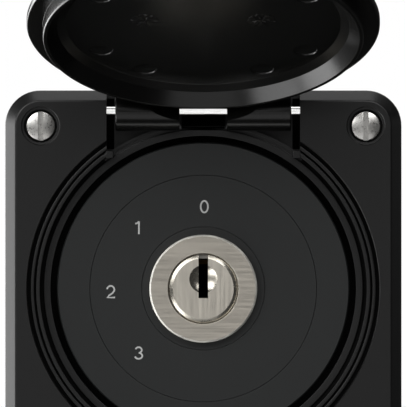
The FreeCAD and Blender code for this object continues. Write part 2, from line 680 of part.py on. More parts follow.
coupling = new_body("drive_coupling")
revolve(coupling, "coupling_turned",
        [("0", "drive_y"), ("lock_radius", "drive_y"), ("lock_radius", "drive_y + 2"),
         ("6.5", "drive_y + 2"), ("6.5", "drive_end"), ("0", "drive_end")])
drive_hole = box("-drive_half - 0.03", "-drive_half - 0.03", "drive_half + 0.03", "drive_half + 0.03")
pocket_y(coupling, "coupling_square", "drive_y", "drive_end", [drive_hole])
pin_levels = ["tail_end - 1.8", "tail_end + 2.2"]
pocket_x(coupling, "coupling_cross_holes", "-7", "7",
         [circle(level, "0", "0.76") for level in pin_levels])
nodes.append(coupling)

roll_seed = new_body("drive_pin_seed")
pad_x(roll_seed, "drive_pin_rod", "-6.4", "6.4", [circle("0", "0", "0.75")])
nodes.append(copies("drive_pins", roll_seed, [("0", level, "0") for level in pin_levels]))

shaft = new_body("switch_shaft")
pad_y(shaft, "shaft_square", "tail_end + 0.3", "case_end - 0.6",
      [box("-drive_half", "-drive_half", "drive_half", "drive_half")])
pad_y(shaft, "shaft_journal", "case_end - 0.6", "base_end + 1.6", [circle("0", "0", "bearing")])
groove(shaft, "clip_groove",
       [("bearing - 0.5", "base_end + 0.4"), ("bearing + 1", "base_end + 0.4"),
        ("bearing + 1", "base_end + 1.0"), ("bearing - 0.5", "base_end + 1.0")])
pocket_x(shaft, "shaft_hole", "-drive_half - 1", "drive_half + 1",
         [circle("tail_end + 2.2", "0", "0.76")])
nodes.append(shaft)

clip = new_body("shaft_clip")
revolve(clip, "clip_turned",
        [("bearing - 0.48", "base_end + 0.45"), ("bearing + 1.3", "base_end + 0.45"),
         ("bearing + 1.3", "base_end + 0.95"), ("bearing - 0.48", "base_end + 0.95")])
pocket_y(clip, "clip_mouth", "base_end", "base_end + 1.5", [box("-1.6", "-6", "1.6", "0")])
nodes.append(clip)

# ------------------------------------------------------------------ index mechanism

index_wheel = new_body("index_wheel")
revolve(index_wheel, "wheel_turned",
        [("0", "wheel_y"), ("wheel", "wheel_y"), ("wheel", "stop_y"), ("wheel - 4", "stop_y"),
         ("wheel - 4", "wheel_end"), ("0", "wheel_end")])
tab = polygon(around("(wheel - 4.5)", -12), around("(wheel + 3)", -9),
              around("(wheel + 3)", 9), around("(wheel - 4.5)", 12))
pad_y(index_wheel, "stop_tab", "stop_y", "wheel_end", [tab])
pocket_y(index_wheel, "index_notches", "wheel_y", "stop_y",
         [circle(*around("(wheel + 0.6)", STEP_ANGLE * n), "1.7") for n in range(8)])
pocket_y(index_wheel, "wheel_square", "wheel_y", "wheel_end", [drive_hole])
nodes.append(index_wheel)

housing = new_body("index_housing")
pad_y(housing, "housing_block", "index_y", "index_end", [octagon("block", "4")])
groove(housing, "housing_cavity",
       [("0", "index_y"), ("lock_radius + 0.4", "index_y"), ("lock_radius + 0.4", "index_y + 2.5"),
        ("index_bore", "index_y + 2.5"), ("index_bore", "index_end"), ("0", "index_end")])
# Two lugs stop the tab at the ends of its travel, a little past each end position.
travel = STEP_ANGLE * (POSITIONS - 1)
stop_play = 13.5
for name, start in (("end_stop", travel + stop_play), ("start_stop", -stop_play - 18)):
    lug = polygon(around("(wheel + 1)", start), around("(index_bore + 0.8)", start),
                  around("(index_bore + 0.8)", start + 18), around("(wheel + 1)", start + 18))
    pad_y(housing, name, "stop_y", "wheel_end", [lug])
leaf_slot_end = "sqrt(index_bore ^ 2 - leaf_z ^ 2) + 4"
pocket_y(housing, "leaf_slots", "wheel_y - 0.1", "index_end",
         [box("9", "leaf_z - 0.05", leaf_slot_end, "leaf_z + leaf_thick + 0.05"),
          box("-(%s)" % leaf_slot_end, "leaf_z - 0.05", "-9", "leaf_z + leaf_thick + 0.05")])
pocket_y(housing, "housing_ties", "index_y", "index_end",
         [circle(x, z, "1.6") for x, z in TIES])
nodes.append(housing)

leaf = new_body("index_spring")
leaf_end = "(%s - 0.2)" % leaf_slot_end
leaf_up = "leaf_z + leaf_thick"
pad_y(leaf, "leaf_strip", "wheel_y", "stop_y - 0.2",
      [polygon(("-" + leaf_end, leaf_up), ("-1.9", leaf_up), ("-0.5", leaf_up + " + 2"),
               ("0.5", leaf_up + " + 2"), ("1.9", leaf_up), (leaf_end, leaf_up),
               (leaf_end, "leaf_z"), ("1.7", "leaf_z"), ("0.3", "leaf_z + 2"),
               ("-0.3", "leaf_z + 2"), ("-1.7", "leaf_z"), ("-" + leaf_end, "leaf_z"))])
nodes.append(leaf)

# ------------------------------------------------------------------ switch chamber

case = new_body("switch_case")
pad_y(case, "case_block", "index_end", "case_end", [octagon("block", "4")])
groove(case, "case_cavity",
       [("0", "index_end"), ("5.6", "index_end"), ("5.6", "index_end + 2"),
        ("index_bore - 1", "index_end + 2"), ("index_bore - 1", "case_end"), ("0", "case_end")])
pocket_y(case, "case_ties", "index_end", "case_end", [circle(x, z, "1.6") for x, z in TIES])
nodes.append(case)

rotor = new_body("contact_rotor")
rotor_end = "index_end + 5.5"
revolve(rotor, "rotor_turned",
        [("0", "wheel_end + 0.3"), ("5.5", "wheel_end + 0.3"), ("5.5", "index_end + 3"),
         ("index_bore - 2", "index_end + 3"), ("index_bore - 2", rotor_end), ("0", rotor_end)])
pocket_y(rotor, "rotor_square", "wheel_end", rotor_end, [drive_hole])
rivet_levels = ["contact_pitch - 4", "contact_pitch - 2.2"]
pocket_y(rotor, "rivet_holes", "index_end + 3", rotor_end,
         [circle("0", level, "0.63") for level in rivet_levels])
nodes.append(rotor)

wiper = new_body("wiper_bridge")
ring_mid = "6.45"
wiper_back = rotor_end + " + 0.6"
wiper_tip = "case_end - 0.9"
pad_y(wiper, "wiper_leaf", rotor_end, wiper_back,
      [box("-2", ring_mid + " - 1.3", "2", "contact_pitch + 1.6")])
pad_y(wiper, "wiper_feet", wiper_back, wiper_tip,
      [circle("0", ring_mid, "1.2"), circle("0", "contact_pitch", "1.4")])
pocket_y(wiper, "wiper_holes", rotor_end, wiper_back,
         [circle("0", level, "0.63") for level in rivet_levels])
nodes.append(wiper)

rivet_seed = new_body("wiper_rivet_seed")
revolve(rivet_seed, "rivet_turned",
        [("0", "index_end + 2.7"), ("0.8", "index_end + 2.7"), ("0.8", "index_end + 3"),
         ("0.6", "index_end + 3"), ("0.6", wiper_back), ("0.85", wiper_back),
         ("0.85", wiper_back + " + 0.4"), ("0", wiper_back + " + 0.4")])
nodes.append(copies("wiper_rivets", rivet_seed, [("0", "0", level) for level in rivet_levels]))

# ------------------------------------------------------------------ contact base and terminals

TERMINALS = [("terminal_x", "terminal_z"), ("-terminal_x", "terminal_z"), ("-terminal_x", "0"),
             ("-terminal_x", "-terminal_z"), ("terminal_x", "-terminal_z")]
contact_places = [around("contact_pitch", 90 + STEP_ANGLE * n) for n in range(POSITIONS)]
common_place = ("0", "-" + ring_mid)

base = new_body("contact_base")
pad_y(base, "base_block", "case_end", "base_end", [octagon("block", "4")])
pocket_y(base, "base_holes", "case_end", "base_end",
         [circle("0", "0", "bearing + 0.05")]
         + [circle(x, z, "1.22") for x, z in contact_places + [common_place]]
         + [circle(x, z, "1.6") for x, z in TIES])
pocket_y(base, "terminal_threads", "base_end - 2.5", "base_end",
         [circle(x, z, "1.52") for x, z in TERMINALS])
nodes.append(base)


def strap_outline(start, end, half):
    """Straight strap from one (x, z) place to another, a little longer at both ends."""
    start_x, start_z = start
    end_x, end_z = end
    run_x = size(end_x) - size(start_x)
    run_z = size(end_z) - size(start_z)
    length = math.hypot(run_x, run_z)
    along = (run_x / length * half, run_z / length * half)
    across = (-along[1], along[0])
    return polygon(
        ("%s - %.5f - %.5f" % (start_x, along[0], across[0]),
         "%s - %.5f - %.5f" % (start_z, along[1], across[1])),
        ("%s + %.5f - %.5f" % (end_x, along[0], across[0]),
         "%s + %.5f - %.5f" % (end_z, along[1], across[1])),
        ("%s + %.5f + %.5f" % (end_x, along[0], across[0]),
         "%s + %.5f + %.5f" % (end_z, along[1], across[1])),
        ("%s - %.5f + %.5f" % (start_x, along[0], across[0]),
         "%s - %.5f + %.5f" % (start_z, along[1], across[1])))


def contact(label, place, terminal, head):
    """Contact head at the front of the base, rivet shank, and strap to its terminal."""
    piece = new_body(label)
    pad_y(piece, label + "_shank", "case_end - 0.1", "base_end + 0.1", [circle(*place, "1.2")])
    pad_y(piece, label + "_head", "case_end - 0.6", "case_end", head)
    pad_y(piece, label + "_strap", "base_end", "base_end + strap_thick",
          [strap_outline(place, terminal, 2.0)])
    pocket_y(piece, label + "_hole", "base_end - 1", "base_end + 2",
             [circle(*terminal, "1.52")])
    return piece


contacts = []
for number, place in enumerate(contact_places):
    head_shape = [circle(*place, "2.0")]
    contacts.append(contact("contact_%d" % number, place, TERMINALS[number], head_shape))
nodes.append(gather("contact_studs", contacts))

ring_contact = contact("common_contact", common_place, TERMINALS[4],
                       [circle("0", "0", "8.0"), circle("0", "0", "4.9")])
nodes.append(ring_contact)

clamp_seed = new_body("terminal_clamp_seed")
pad_y(clamp_seed, "clamp_plate", "base_end + 3", "base_end + 4",
      [box("-2.7", "-2.7", "2.7", "2.7")])
pocket_y(clamp_seed, "clamp_hole", "base_end + 3", "base_end + 4", [circle("0", "0", "1.55")])
terminal_places = [(x, "0", z) for x, z in TERMINALS]
nodes.append(copies("terminal_clamps", clamp_seed, terminal_places))

terminal_seed = new_body("terminal_screw_seed")
revolve(terminal_seed, "terminal_screw_turned",
        [("0", "base_end - 2.3"), ("1.1", "base_end - 2.3"), ("1.5", "base_end - 1.9"),
         ("1.5", "base_end + 4"), ("2.6", "base_end + 4"), ("2.6", "base_end + 5.7"),
         ("2.3", "base_end + 6"), ("0", "base_end + 6")])
pocket_y(terminal_seed, "terminal_slot", "base_end + 5", "base_end + 7",
         [box("-0.35", "-4", "0.35", "4")])
nodes.append(copies("terminal_screws", terminal_seed, terminal_places))

cover = new_body("rear_cover")
pad_y(cover, "cover_block", "base_end", "cover_end", [octagon("block", "4")])
pocket_y(cover, "cover_hollow", "base_end", "cover_end - 1.6", [octagon("(block - 1.4)", "4.4")])
pad_y(cover, "cover_posts", "base_end", "cover_end - 1",
      [circle(x, z, "2.9") for x, z in TIES])
pocket_y(cover, "cover_ties", "base_end", "cover_end", [circle(x, z, "1.6") for x, z in TIES])
pocket_y(cover, "driver_holes", "cover_end - 2", "cover_end",
         [circle(x, z, "2.5") for x, z in TERMINALS])
right_windows = [box(z + " - 2.2", "base_end", z + " + 2.2", "base_end + 4")
                 for x, z in TERMINALS if not x.startswith("-")]
left_windows = [box(z + " - 2.2", "base_end", z + " + 2.2", "base_end + 4")
                for x, z in TERMINALS if x.startswith("-")]


def swap(shape):
    """The same polygon with its two coordinates exchanged."""
    return polygon(*[(second, first) for first, second in shape[1]])


pocket_x(cover, "right_wire_windows", "block - 2", "block + 1", [swap(w) for w in right_windows])
pocket_x(cover, "left_wire_windows", "-block - 1", "-block + 2", [swap(w) for w in left_windows])
nodes.append(cover)

tie_seed = new_body("tie_screw_seed")
revolve(tie_seed, "tie_screw_turned",
        [("0", "carrier_end - 4.7"), ("1.1", "carrier_end - 4.7"), ("1.5", "carrier_end - 4.3"),
         ("1.5", "cover_end"), ("2.75", "cover_end"), ("2.75", "cover_end + 1.9"),
         ("2.4", "cover_end + 2.2"), ("0", "cover_end + 2.2")])
pocket_y(tie_seed, "tie_slot", "cover_end + 1.1", "cover_end + 3", [box("-0.4", "-4", "0.4", "4")])
nodes.append(copies("tie_screws", tie_seed, [(x, "0", z) for x, z in TIES]))

# ------------------------------------------------------------------ check and export

doc.recompute()
faults = []
for item in doc.Objects:
    if "Invalid" in item.State or "Error" in item.State:
        faults.append(item.Label + " did not build")
for node in nodes:
    if node.Shape.isNull() or not node.Shape.isValid() or not node.Shape.Solids:
        faults.append(node.Label + " has no valid solid")
if faults:
    raise RuntimeError("; ".join(faults))
for node in nodes:
    node.Shape.exportStep("parts/%s.step" % node.Label)
    bounds = node.Shape.BoundBox
    print("%-16s %2d solids  %9.1f mm3  x %6.1f %6.1f  y %6.1f %6.1f  z %6.1f %6.1f" % (
        node.Label, len(node.Shape.Solids), node.Shape.Volume, bounds.XMin, bounds.XMax,
        bounds.YMin, bounds.YMax, bounds.ZMin, bounds.ZMax))
print(len(nodes), "nodes")
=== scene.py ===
import json
import math

import bmesh
import bpy
from mathutils import Matrix, Vector

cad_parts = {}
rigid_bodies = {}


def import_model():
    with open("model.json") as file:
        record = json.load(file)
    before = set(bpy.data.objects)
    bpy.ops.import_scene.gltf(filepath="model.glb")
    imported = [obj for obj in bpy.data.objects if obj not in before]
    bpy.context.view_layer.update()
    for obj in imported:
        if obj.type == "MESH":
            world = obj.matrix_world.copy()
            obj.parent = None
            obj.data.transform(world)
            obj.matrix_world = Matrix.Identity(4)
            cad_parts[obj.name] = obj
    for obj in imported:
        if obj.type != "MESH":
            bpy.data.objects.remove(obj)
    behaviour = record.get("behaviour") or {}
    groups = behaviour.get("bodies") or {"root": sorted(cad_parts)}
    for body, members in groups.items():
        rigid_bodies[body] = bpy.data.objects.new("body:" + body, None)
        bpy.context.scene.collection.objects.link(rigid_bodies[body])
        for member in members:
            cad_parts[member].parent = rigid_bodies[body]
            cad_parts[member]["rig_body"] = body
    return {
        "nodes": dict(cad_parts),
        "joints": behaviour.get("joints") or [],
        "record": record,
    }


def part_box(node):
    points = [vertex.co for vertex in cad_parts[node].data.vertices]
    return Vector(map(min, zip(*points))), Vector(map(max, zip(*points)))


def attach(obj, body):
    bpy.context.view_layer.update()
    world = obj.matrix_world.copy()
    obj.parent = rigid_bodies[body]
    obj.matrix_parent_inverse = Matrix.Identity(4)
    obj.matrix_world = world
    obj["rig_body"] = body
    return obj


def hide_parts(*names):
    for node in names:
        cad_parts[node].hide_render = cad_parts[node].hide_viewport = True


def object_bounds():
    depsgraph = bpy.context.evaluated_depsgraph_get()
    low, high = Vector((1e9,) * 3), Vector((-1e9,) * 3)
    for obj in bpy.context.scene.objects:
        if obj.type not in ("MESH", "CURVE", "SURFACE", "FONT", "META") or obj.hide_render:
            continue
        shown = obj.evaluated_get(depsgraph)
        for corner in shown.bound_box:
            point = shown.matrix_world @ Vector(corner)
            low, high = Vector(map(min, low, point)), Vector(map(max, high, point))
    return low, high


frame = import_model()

# Selector key switch: black flange plate, open round lid, numbered dial and a key lock.
# Meshes are drawn in millimetres and scaled to metres when they are finished.
# X is right, Z is up and the front looks along -Y.

cad_low, cad_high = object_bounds()
MM = 0.001


# ------------------------------------------------------------------ sizes, in millimetres

plate_low, plate_high = (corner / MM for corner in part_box("front_plate"))
HALF = plate_high.x                              # half the flange's width
FACE = plate_low.y                               # front face of the flange
TUB_END = plate_high.y
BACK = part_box("panel_gasket")[0].y / MM          # rear face of the flange
CORNER = 6.7
BEVEL = 2.0
RIM = 2 * HALF * 0.444                           # radius of the round recess
TUB = RIM - 2.3
GAP = RIM - 4.4
SEAT = FACE + 7.0
WEB_BORE = TUB - 6.0

pin_low, pin_high = (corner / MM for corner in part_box("hinge_pin"))
PIN_Y = (pin_low.y + pin_high.y) / 2
PIN_Z = (pin_low.z + pin_high.z) / 2
PIN_R = (pin_high.z - pin_low.z) / 2
BARREL = 3.8
BARREL_HALF = 16.6
CUT_HALF = BARREL_HALF + 1.7
NOTCH_HALF = 4.5
LID_OPEN = frame["joints"][0]["range_deg"][1]
LID_RADIUS = RIM - 0.55
LIP = RIM - 3.55

dial_low, dial_high = (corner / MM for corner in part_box("dial_ring"))
DIAL = dial_high.x
DIAL_FRONT = dial_low.y
DIAL_JOINT = DIAL - 6.2
lock_low, lock_high = (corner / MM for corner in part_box("lock_body"))
ROSETTE = lock_high.x
ROSETTE_FRONT = lock_low.y
LOCK_END = lock_high.y
plug_low, plug_high = (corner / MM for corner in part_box("lock_plug"))
PLUG = plug_high.x
PLUG_FRONT = ROSETTE_FRONT + 0.05
SHOULDER = ROSETTE_FRONT + 2.6
screw_low, screw_high = (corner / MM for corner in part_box("corner_screws"))
SCREW_HEAD = 2.75
SCREW_FRONT = screw_low.y
SCREW_TIP = screw_high.y
SCREW_SHANK = 1.5
NECK = 1.15                                      # thinner part between head and thread
SCREW_PLACE = screw_high.x - SCREW_HEAD          # screw axis, sideways and up or down
WELL = 3.15

ROUND_STEPS = 32           # sides of a small round piece
RING_STEPS = 192          # sides of a large round piece


# ------------------------------------------------------------------ mesh helpers

def rounded(points, radius, steps=3, closed=True):
    """The outline with its corners turned into short arcs, none larger than its sides allow."""
    count = len(points)
    result = []
    for index, corner in enumerate(points):
        here = Vector(corner)
        if not closed and index in (0, count - 1):
            result.append(here)
            continue
        back = Vector(points[index - 1]) - here
        ahead = Vector(points[(index + 1) % count]) - here
        turn = back.angle(ahead)
        if turn > math.radians(175):
            result.append(here)
            continue
        reach = min(radius / math.tan(turn / 2), back.length * 0.45, ahead.length * 0.45)
        start = here + back.normalized() * reach
        end = here + ahead.normalized() * reach
        for step in range(steps + 1):
            share = step / steps
            near = start.lerp(here, share)
            far = here.lerp(end, share)
            result.append(near.lerp(far, share))
    return result


def lathe(points, radius=0.1, steps=RING_STEPS, arc=3, centre=(0, 0, 0)):
    """Turns an outline of (radius, y) about a line along Y; it is open if it starts on the line."""
    closed = points[0][0] > 0
    outline = rounded(points, radius, arc, closed)
    bm = bmesh.new()
    verts = [bm.verts.new((x, y, 0)) for x, y in outline]
    pairs = list(zip(verts, verts[1:]))
    if closed:
        pairs.append((verts[-1], verts[0]))
    edges = [bm.edges.new(pair) for pair in pairs]
    bmesh.ops.spin(bm, geom=verts + edges, cent=(0, 0, 0), axis=(0, 1, 0), dvec=(0, 0, 0),
                   angle=math.tau, steps=steps, use_merge=True, use_duplicate=False)
    return settle(bm, centre)


def settle(bm, move=(0, 0, 0)):
    """Closes seams and poles, turns the faces outwards and moves the shape."""
    bmesh.ops.remove_doubles(bm, verts=bm.verts, dist=1e-4)
    bmesh.ops.recalc_face_normals(bm, faces=bm.faces)
    bmesh.ops.translate(bm, verts=bm.verts, vec=move)
    return bm


def block(low, high):
    """Plain box between two corners."""
    low, high = Vector(low), Vector(high)
    bm = bmesh.new()
    bmesh.ops.create_cube(bm, size=1)
    bmesh.ops.scale(bm, vec=high - low, verts=bm.verts)
    bmesh.ops.translate(bm, vec=(low + high) / 2, verts=bm.verts)
    return bm


def rod(radius, start, end, steps=ROUND_STEPS):
    """Round bar between two places."""
    start, end = Vector(start), Vector(end)
    bm = bmesh.new()
    bmesh.ops.create_cone(bm, cap_ends=True, segments=steps, radius1=radius, radius2=radius,
                          depth=(end - start).length)
    turn = (end - start).to_track_quat("Z", "Y").to_matrix()
    bmesh.ops.rotate(bm, cent=(0, 0, 0), matrix=turn, verts=bm.verts)
    bmesh.ops.translate(bm, vec=(start + end) / 2, verts=bm.verts)
    return bm


def prism(outline, front, back):
    """Plate between two y levels with an (x, z) outline."""
    bm = bmesh.new()
    face = bm.faces.new([bm.verts.new((x, front, z)) for x, z in outline])
    made = bmesh.ops.extrude_face_region(bm, geom=[face])
    verts = [item for item in made["geom"] if isinstance(item, bmesh.types.BMVert)]
    bmesh.ops.translate(bm, verts=verts, vec=(0, back - front, 0))
    return settle(bm)


def sharp_edges(bm, angle=35):
    limit = math.radians(angle)
    return [e for e in bm.edges if len(e.link_faces) == 2 and e.calc_face_angle(0) > limit]


def ease(bm, width, segments=2, edges=None):
    """Rounds sharp edges by a small width."""
    bmesh.ops.bevel(bm, geom=edges or sharp_edges(bm), offset=width, offset_type="OFFSET",
                    segments=segments, profile=0.5, affect="EDGES", clamp_overlap=True,
                    material=-1)
    return bm


def temporary(bm):
    mesh = bpy.data.meshes.new("temporary")
    bm.to_mesh(mesh)
    bm.free()
    thing = bpy.data.objects.new("temporary", mesh)
    bpy.context.scene.collection.objects.link(thing)
    return thing


def combine(bm, *steps):
    """Adds shapes to a shape or takes them away, one after the other: (operation, shape)."""
    main = temporary(bm)
    tools = []
    for operation, shape in steps:
        tool = temporary(shape)
        tools.append(tool)
        modifier = main.modifiers.new(operation, "BOOLEAN")
        modifier.operation = operation
        modifier.solver = "EXACT"
        modifier.object = tool
    evaluated = main.evaluated_get(bpy.context.evaluated_depsgraph_get())
    result = bmesh.new()
    result.from_mesh(evaluated.to_mesh())
    evaluated.to_mesh_clear()
    for thing in [main] + tools:
        mesh = thing.data
        bpy.data.objects.remove(thing)
        bpy.data.meshes.remove(mesh)
    bmesh.ops.remove_doubles(result, verts=result.verts, dist=1e-4)
    bmesh.ops.dissolve_degenerate(result, edges=result.edges, dist=1e-4)
    return result


def without(bm, *shapes):
    return combine(bm, *[("DIFFERENCE", shape) for shape in shapes])


def merged(shapes):
    """Several separate shapes as one mesh."""
    total = bmesh.new()
    for shape in shapes:
        mesh = bpy.data.meshes.new("part")
        shape.to_mesh(mesh)
        shape.free()
        total.from_mesh(mesh)
        bpy.data.meshes.remove(mesh)
    return total


def copies(bm, places):
    """The same shape at several (x, z) places, as one mesh."""
    shapes = []
    for x, z in places:
        shape = bm.copy()
        bmesh.ops.translate(shape, verts=shape.verts, vec=(x, 0, z))
        shapes.append(shape)
    bm.free()
    return merged(shapes)


def piece(name, bm, body, material, nodes=(), smooth=30):
    """Finishes a mesh as a piece of the object that rides on a body."""
    bmesh.ops.scale(bm, vec=(MM, MM, MM), verts=bm.verts)
    mesh = bpy.data.meshes.new(name)
    bm.to_mesh(mesh)
    bm.free()
    mesh.materials.append(material)
    mesh.shade_smooth()
    mesh.set_sharp_from_angle(angle=math.radians(smooth))
    thing = bpy.data.objects.new(name, mesh)
    bpy.context.scene.collection.objects.link(thing)
    thing.modifiers.new("flat faces stay flat", "WEIGHTED_NORMAL").keep_sharp = True
    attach(thing, body)
    if nodes:
        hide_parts(*nodes)
    return thing


# ------------------------------------------------------------------ materials

def linear(code):
    """Linear colour of an sRGB hex value."""
    channels = [int(code[start:start + 2], 16) / 255 for start in (1, 3, 5)]
    return [c / 12.92 if c <= 0.04045 else ((c + 0.055) / 1.055) ** 2.4 for c in channels] + [1]


def add(tree, kind, values=None, links=None, **settings):
    """Adds a node with its settings, its input values and its incoming links."""
    node = tree.nodes.new(kind)
    for name, value in settings.items():
        setattr(node, name, value)
    for name, value in (values or {}).items():
        node.inputs[name].default_value = value
    for name, output in (links or {}).items():
        tree.links.new(output, node.inputs[name])
    return node


def start_material(name, **values):
    """New material with a principled shader; numbers go straight to the shader's sockets."""
    material = bpy.data.materials.new(name)
    material.use_nodes = True
    tree = material.node_tree
    shader = tree.nodes["Principled BSDF"]
    for socket, value in values.items():
        shader.inputs[socket.replace("_", " ")].default_value = value
    material.diffuse_color = shader.inputs["Base Color"].default_value
    coords = add(tree, "ShaderNodeTexCoord").outputs["Object"]
    return material, tree, shader, coords


def per_metre(size_in_mm):
    """Texture scale that gives features of this size."""
    return 1000 / size_in_mm


def moulded_plastic(name, colour, roughness, grain, depth, mottling=0.12, ior=1.5):
    """Injection-moulded thermoplastic with a spark-eroded grain: a soft, slightly uneven black."""
    material, tree, shader, coords = start_material(
        name, Base_Color=linear(colour), IOR=ior, Roughness=roughness)
    cloud = add(tree, "ShaderNodeTexNoise", {"Scale": per_metre(9), "Detail": 3},
                {"Vector": coords})
    shade = add(tree, "ShaderNodeMix", data_type="RGBA")
    tone = linear(colour)
    shade.inputs["A"].default_value = [c * (1 - mottling) for c in tone[:3]] + [1]
    shade.inputs["B"].default_value = [c * (1 + mottling) for c in tone[:3]] + [1]
    tree.links.new(cloud.outputs["Fac"], shade.inputs["Factor"])
    tree.links.new(shade.outputs["Result"], shader.inputs["Base Color"])
    fine = add(tree, "ShaderNodeTexNoise", {"Scale": per_metre(grain), "Detail": 2},
               {"Vector": coords})
    rough = add(tree, "ShaderNodeMapRange",
                {"From Min": 0.3, "From Max": 0.7, "To Min": roughness * 0.92,
                 "To Max": roughness * 1.1}, {"Value": fine.outputs["Fac"]})
    tree.links.new(rough.outputs["Result"], shader.inputs["Roughness"])
    bump = add(tree, "ShaderNodeBump", {"Strength": 0.35, "Distance": depth * MM},
               {"Height": fine.outputs["Fac"]})
    tree.links.new(bump.outputs["Normal"], shader.inputs["Normal"])
    return material


def brushed_metal(name, colour, roughness, stretch, line=0.14, depth=0.004, contrast=0.1):
    """Metal brushed in one direction: fine parallel scratches, stretched along the brushing."""
    material, tree, shader, coords = start_material(
        name, Base_Color=linear(colour), Metallic=1.0, Roughness=roughness)
    mapping = add(tree, "ShaderNodeMapping", {"Scale": stretch}, {"Vector": coords})
    lines = add(tree, "ShaderNodeTexNoise", {"Scale": per_metre(line), "Detail": 4,
                "Roughness": 0.65}, {"Vector": mapping.outputs["Vector"]})
    tone = linear(colour)
    shade = add(tree, "ShaderNodeMix", data_type="RGBA")
    shade.inputs["A"].default_value = [c * (1 - contrast) for c in tone[:3]] + [1]
    shade.inputs["B"].default_value = [min(1, c * (1 + contrast)) for c in tone[:3]] + [1]
    tree.links.new(lines.outputs["Fac"], shade.inputs["Factor"])
    tree.links.new(shade.outputs["Result"], shader.inputs["Base Color"])
    rough = add(tree, "ShaderNodeMapRange",
                {"From Min": 0.3, "From Max": 0.7, "To Min": roughness * 0.8,
                 "To Max": roughness * 1.25}, {"Value": lines.outputs["Fac"]})
    tree.links.new(rough.outputs["Result"], shader.inputs["Roughness"])
    bump = add(tree, "ShaderNodeBump", {"Strength": 0.5, "Distance": depth * MM},
               {"Height": lines.outputs["Fac"]})
    tree.links.new(bump.outputs["Normal"], shader.inputs["Normal"])
    return material


def plated_metal(name, colour, roughness, stain=0.08, grain=0.35):
    """Plated or rolled metal: a clean sheen with faint clouding and fine pits."""
    material, tree, shader, coords = start_material(
        name, Base_Color=linear(colour), Metallic=1.0, Roughness=roughness)
    cloud = add(tree, "ShaderNodeTexNoise", {"Scale": per_metre(3), "Detail": 4},
                {"Vector": coords})
    tone = linear(colour)
    shade = add(tree, "ShaderNodeMix", data_type="RGBA")
    shade.inputs["A"].default_value = [c * (1 - stain) for c in tone[:3]] + [1]
    shade.inputs["B"].default_value = [min(1, c * (1 + stain)) for c in tone[:3]] + [1]
    tree.links.new(cloud.outputs["Fac"], shade.inputs["Factor"])
    tree.links.new(shade.outputs["Result"], shader.inputs["Base Color"])
    pits = add(tree, "ShaderNodeTexNoise", {"Scale": per_metre(grain), "Detail": 3},
               {"Vector": coords})
    rough = add(tree, "ShaderNodeMapRange",
                {"From Min": 0.3, "From Max": 0.7, "To Min": roughness * 0.75,
                 "To Max": roughness * 1.3}, {"Value": cloud.outputs["Fac"]})
    tree.links.new(rough.outputs["Result"], shader.inputs["Roughness"])
    bump = add(tree, "ShaderNodeBump", {"Strength": 0.3, "Distance": 0.01 * MM},
               {"Height": pits.outputs["Fac"]})
    tree.links.new(bump.outputs["Normal"], shader.inputs["Normal"])
    return material


def speckled_thermoset(name, colour, fleck):
    """Compression-moulded polyester: dull, with pale glass flecks just under the skin."""
    material, tree, shader, coords = start_material(
        name, Base_Color=linear(colour), IOR=1.52, Roughness=0.55)
    cells = add(tree, "ShaderNodeTexVoronoi", {"Scale": per_metre(0.9)}, {"Vector": coords},
                feature="F1")
    spots = add(tree, "ShaderNodeMapRange", {"From Min": 0.05, "From Max": 0.22, "To Min": 1,
                "To Max": 0}, {"Value": cells.outputs["Distance"]})
    shade = add(tree, "ShaderNodeMix", {}, {"Factor": spots.outputs["Result"]}, data_type="RGBA")
    shade.inputs["A"].default_value = linear(colour)
    shade.inputs["B"].default_value = linear(fleck)
    tree.links.new(shade.outputs["Result"], shader.inputs["Base Color"])
    fine = add(tree, "ShaderNodeTexNoise", {"Scale": per_metre(0.3), "Detail": 2},
               {"Vector": coords})
    bump = add(tree, "ShaderNodeBump", {"Strength": 0.3, "Distance": 0.02 * MM},
               {"Height": fine.outputs["Fac"]})
    tree.links.new(bump.outputs["Normal"], shader.inputs["Normal"])
    return material


def moulded_rubber(name, colour):
    """EPDM sheet: dull black with a powdery, cloudy surface."""
    material, tree, shader, coords = start_material(
        name, Base_Color=linear(colour), IOR=1.5, Roughness=0.85)
    cloud = add(tree, "ShaderNodeTexNoise", {"Scale": per_metre(4), "Detail": 5},
                {"Vector": coords})
    tone = linear(colour)
    shade = add(tree, "ShaderNodeMix", data_type="RGBA")
    shade.inputs["A"].default_value = [c * 0.7 for c in tone[:3]] + [1]
    shade.inputs["B"].default_value = [c * 1.5 for c in tone[:3]] + [1]
    tree.links.new(cloud.outputs["Fac"], shade.inputs["Factor"])
    tree.links.new(shade.outputs["Result"], shader.inputs["Base Color"])
    fine = add(tree, "ShaderNodeTexNoise", {"Scale": per_metre(0.25), "Detail": 2},
               {"Vector": coords})
    bump = add(tree, "ShaderNodeBump", {"Strength": 0.4, "Distance": 0.03 * MM},
               {"Height": fine.outputs["Fac"]})
    tree.links.new(bump.outputs["Normal"], shader.inputs["Normal"])
    return material


FACE_BLACK = moulded_plastic("black_polyamide_face", "#0E0E0E", 0.38, 0.22, 0.01)
# Painted shade: darker and less reflective than the plastic really is, chosen so that deep grooves, the
# lug's pocket and the side slots read as black.
GROOVE_PAINTED_SHADE = moulded_plastic("black_polyamide_groove_painted_shade", "#020202", 0.8, 0.22, 0.01, 0.12, 1.22)
LID_BLACK = moulded_plastic("black_polyamide_lid", "#060605", 0.22, 0.3, 0.0012)
DIAL_BLACK = moulded_plastic("black_polycarbonate_dial", "#171919", 0.46, 0.2, 0.012, 0.06)
CARRIER_BLACK = moulded_plastic("glass_filled_nylon", "#17181A", 0.58, 0.5, 0.05, 0.25)
ROTOR_WHITE = moulded_plastic("white_acetal", "#E4E1D6", 0.36, 0.5, 0.01, 0.03)
CASE_GREY = speckled_thermoset("grey_polyester_compound", "#4B4E50", "#74787A")
RUBBER = moulded_rubber("epdm_rubber", "#101011")
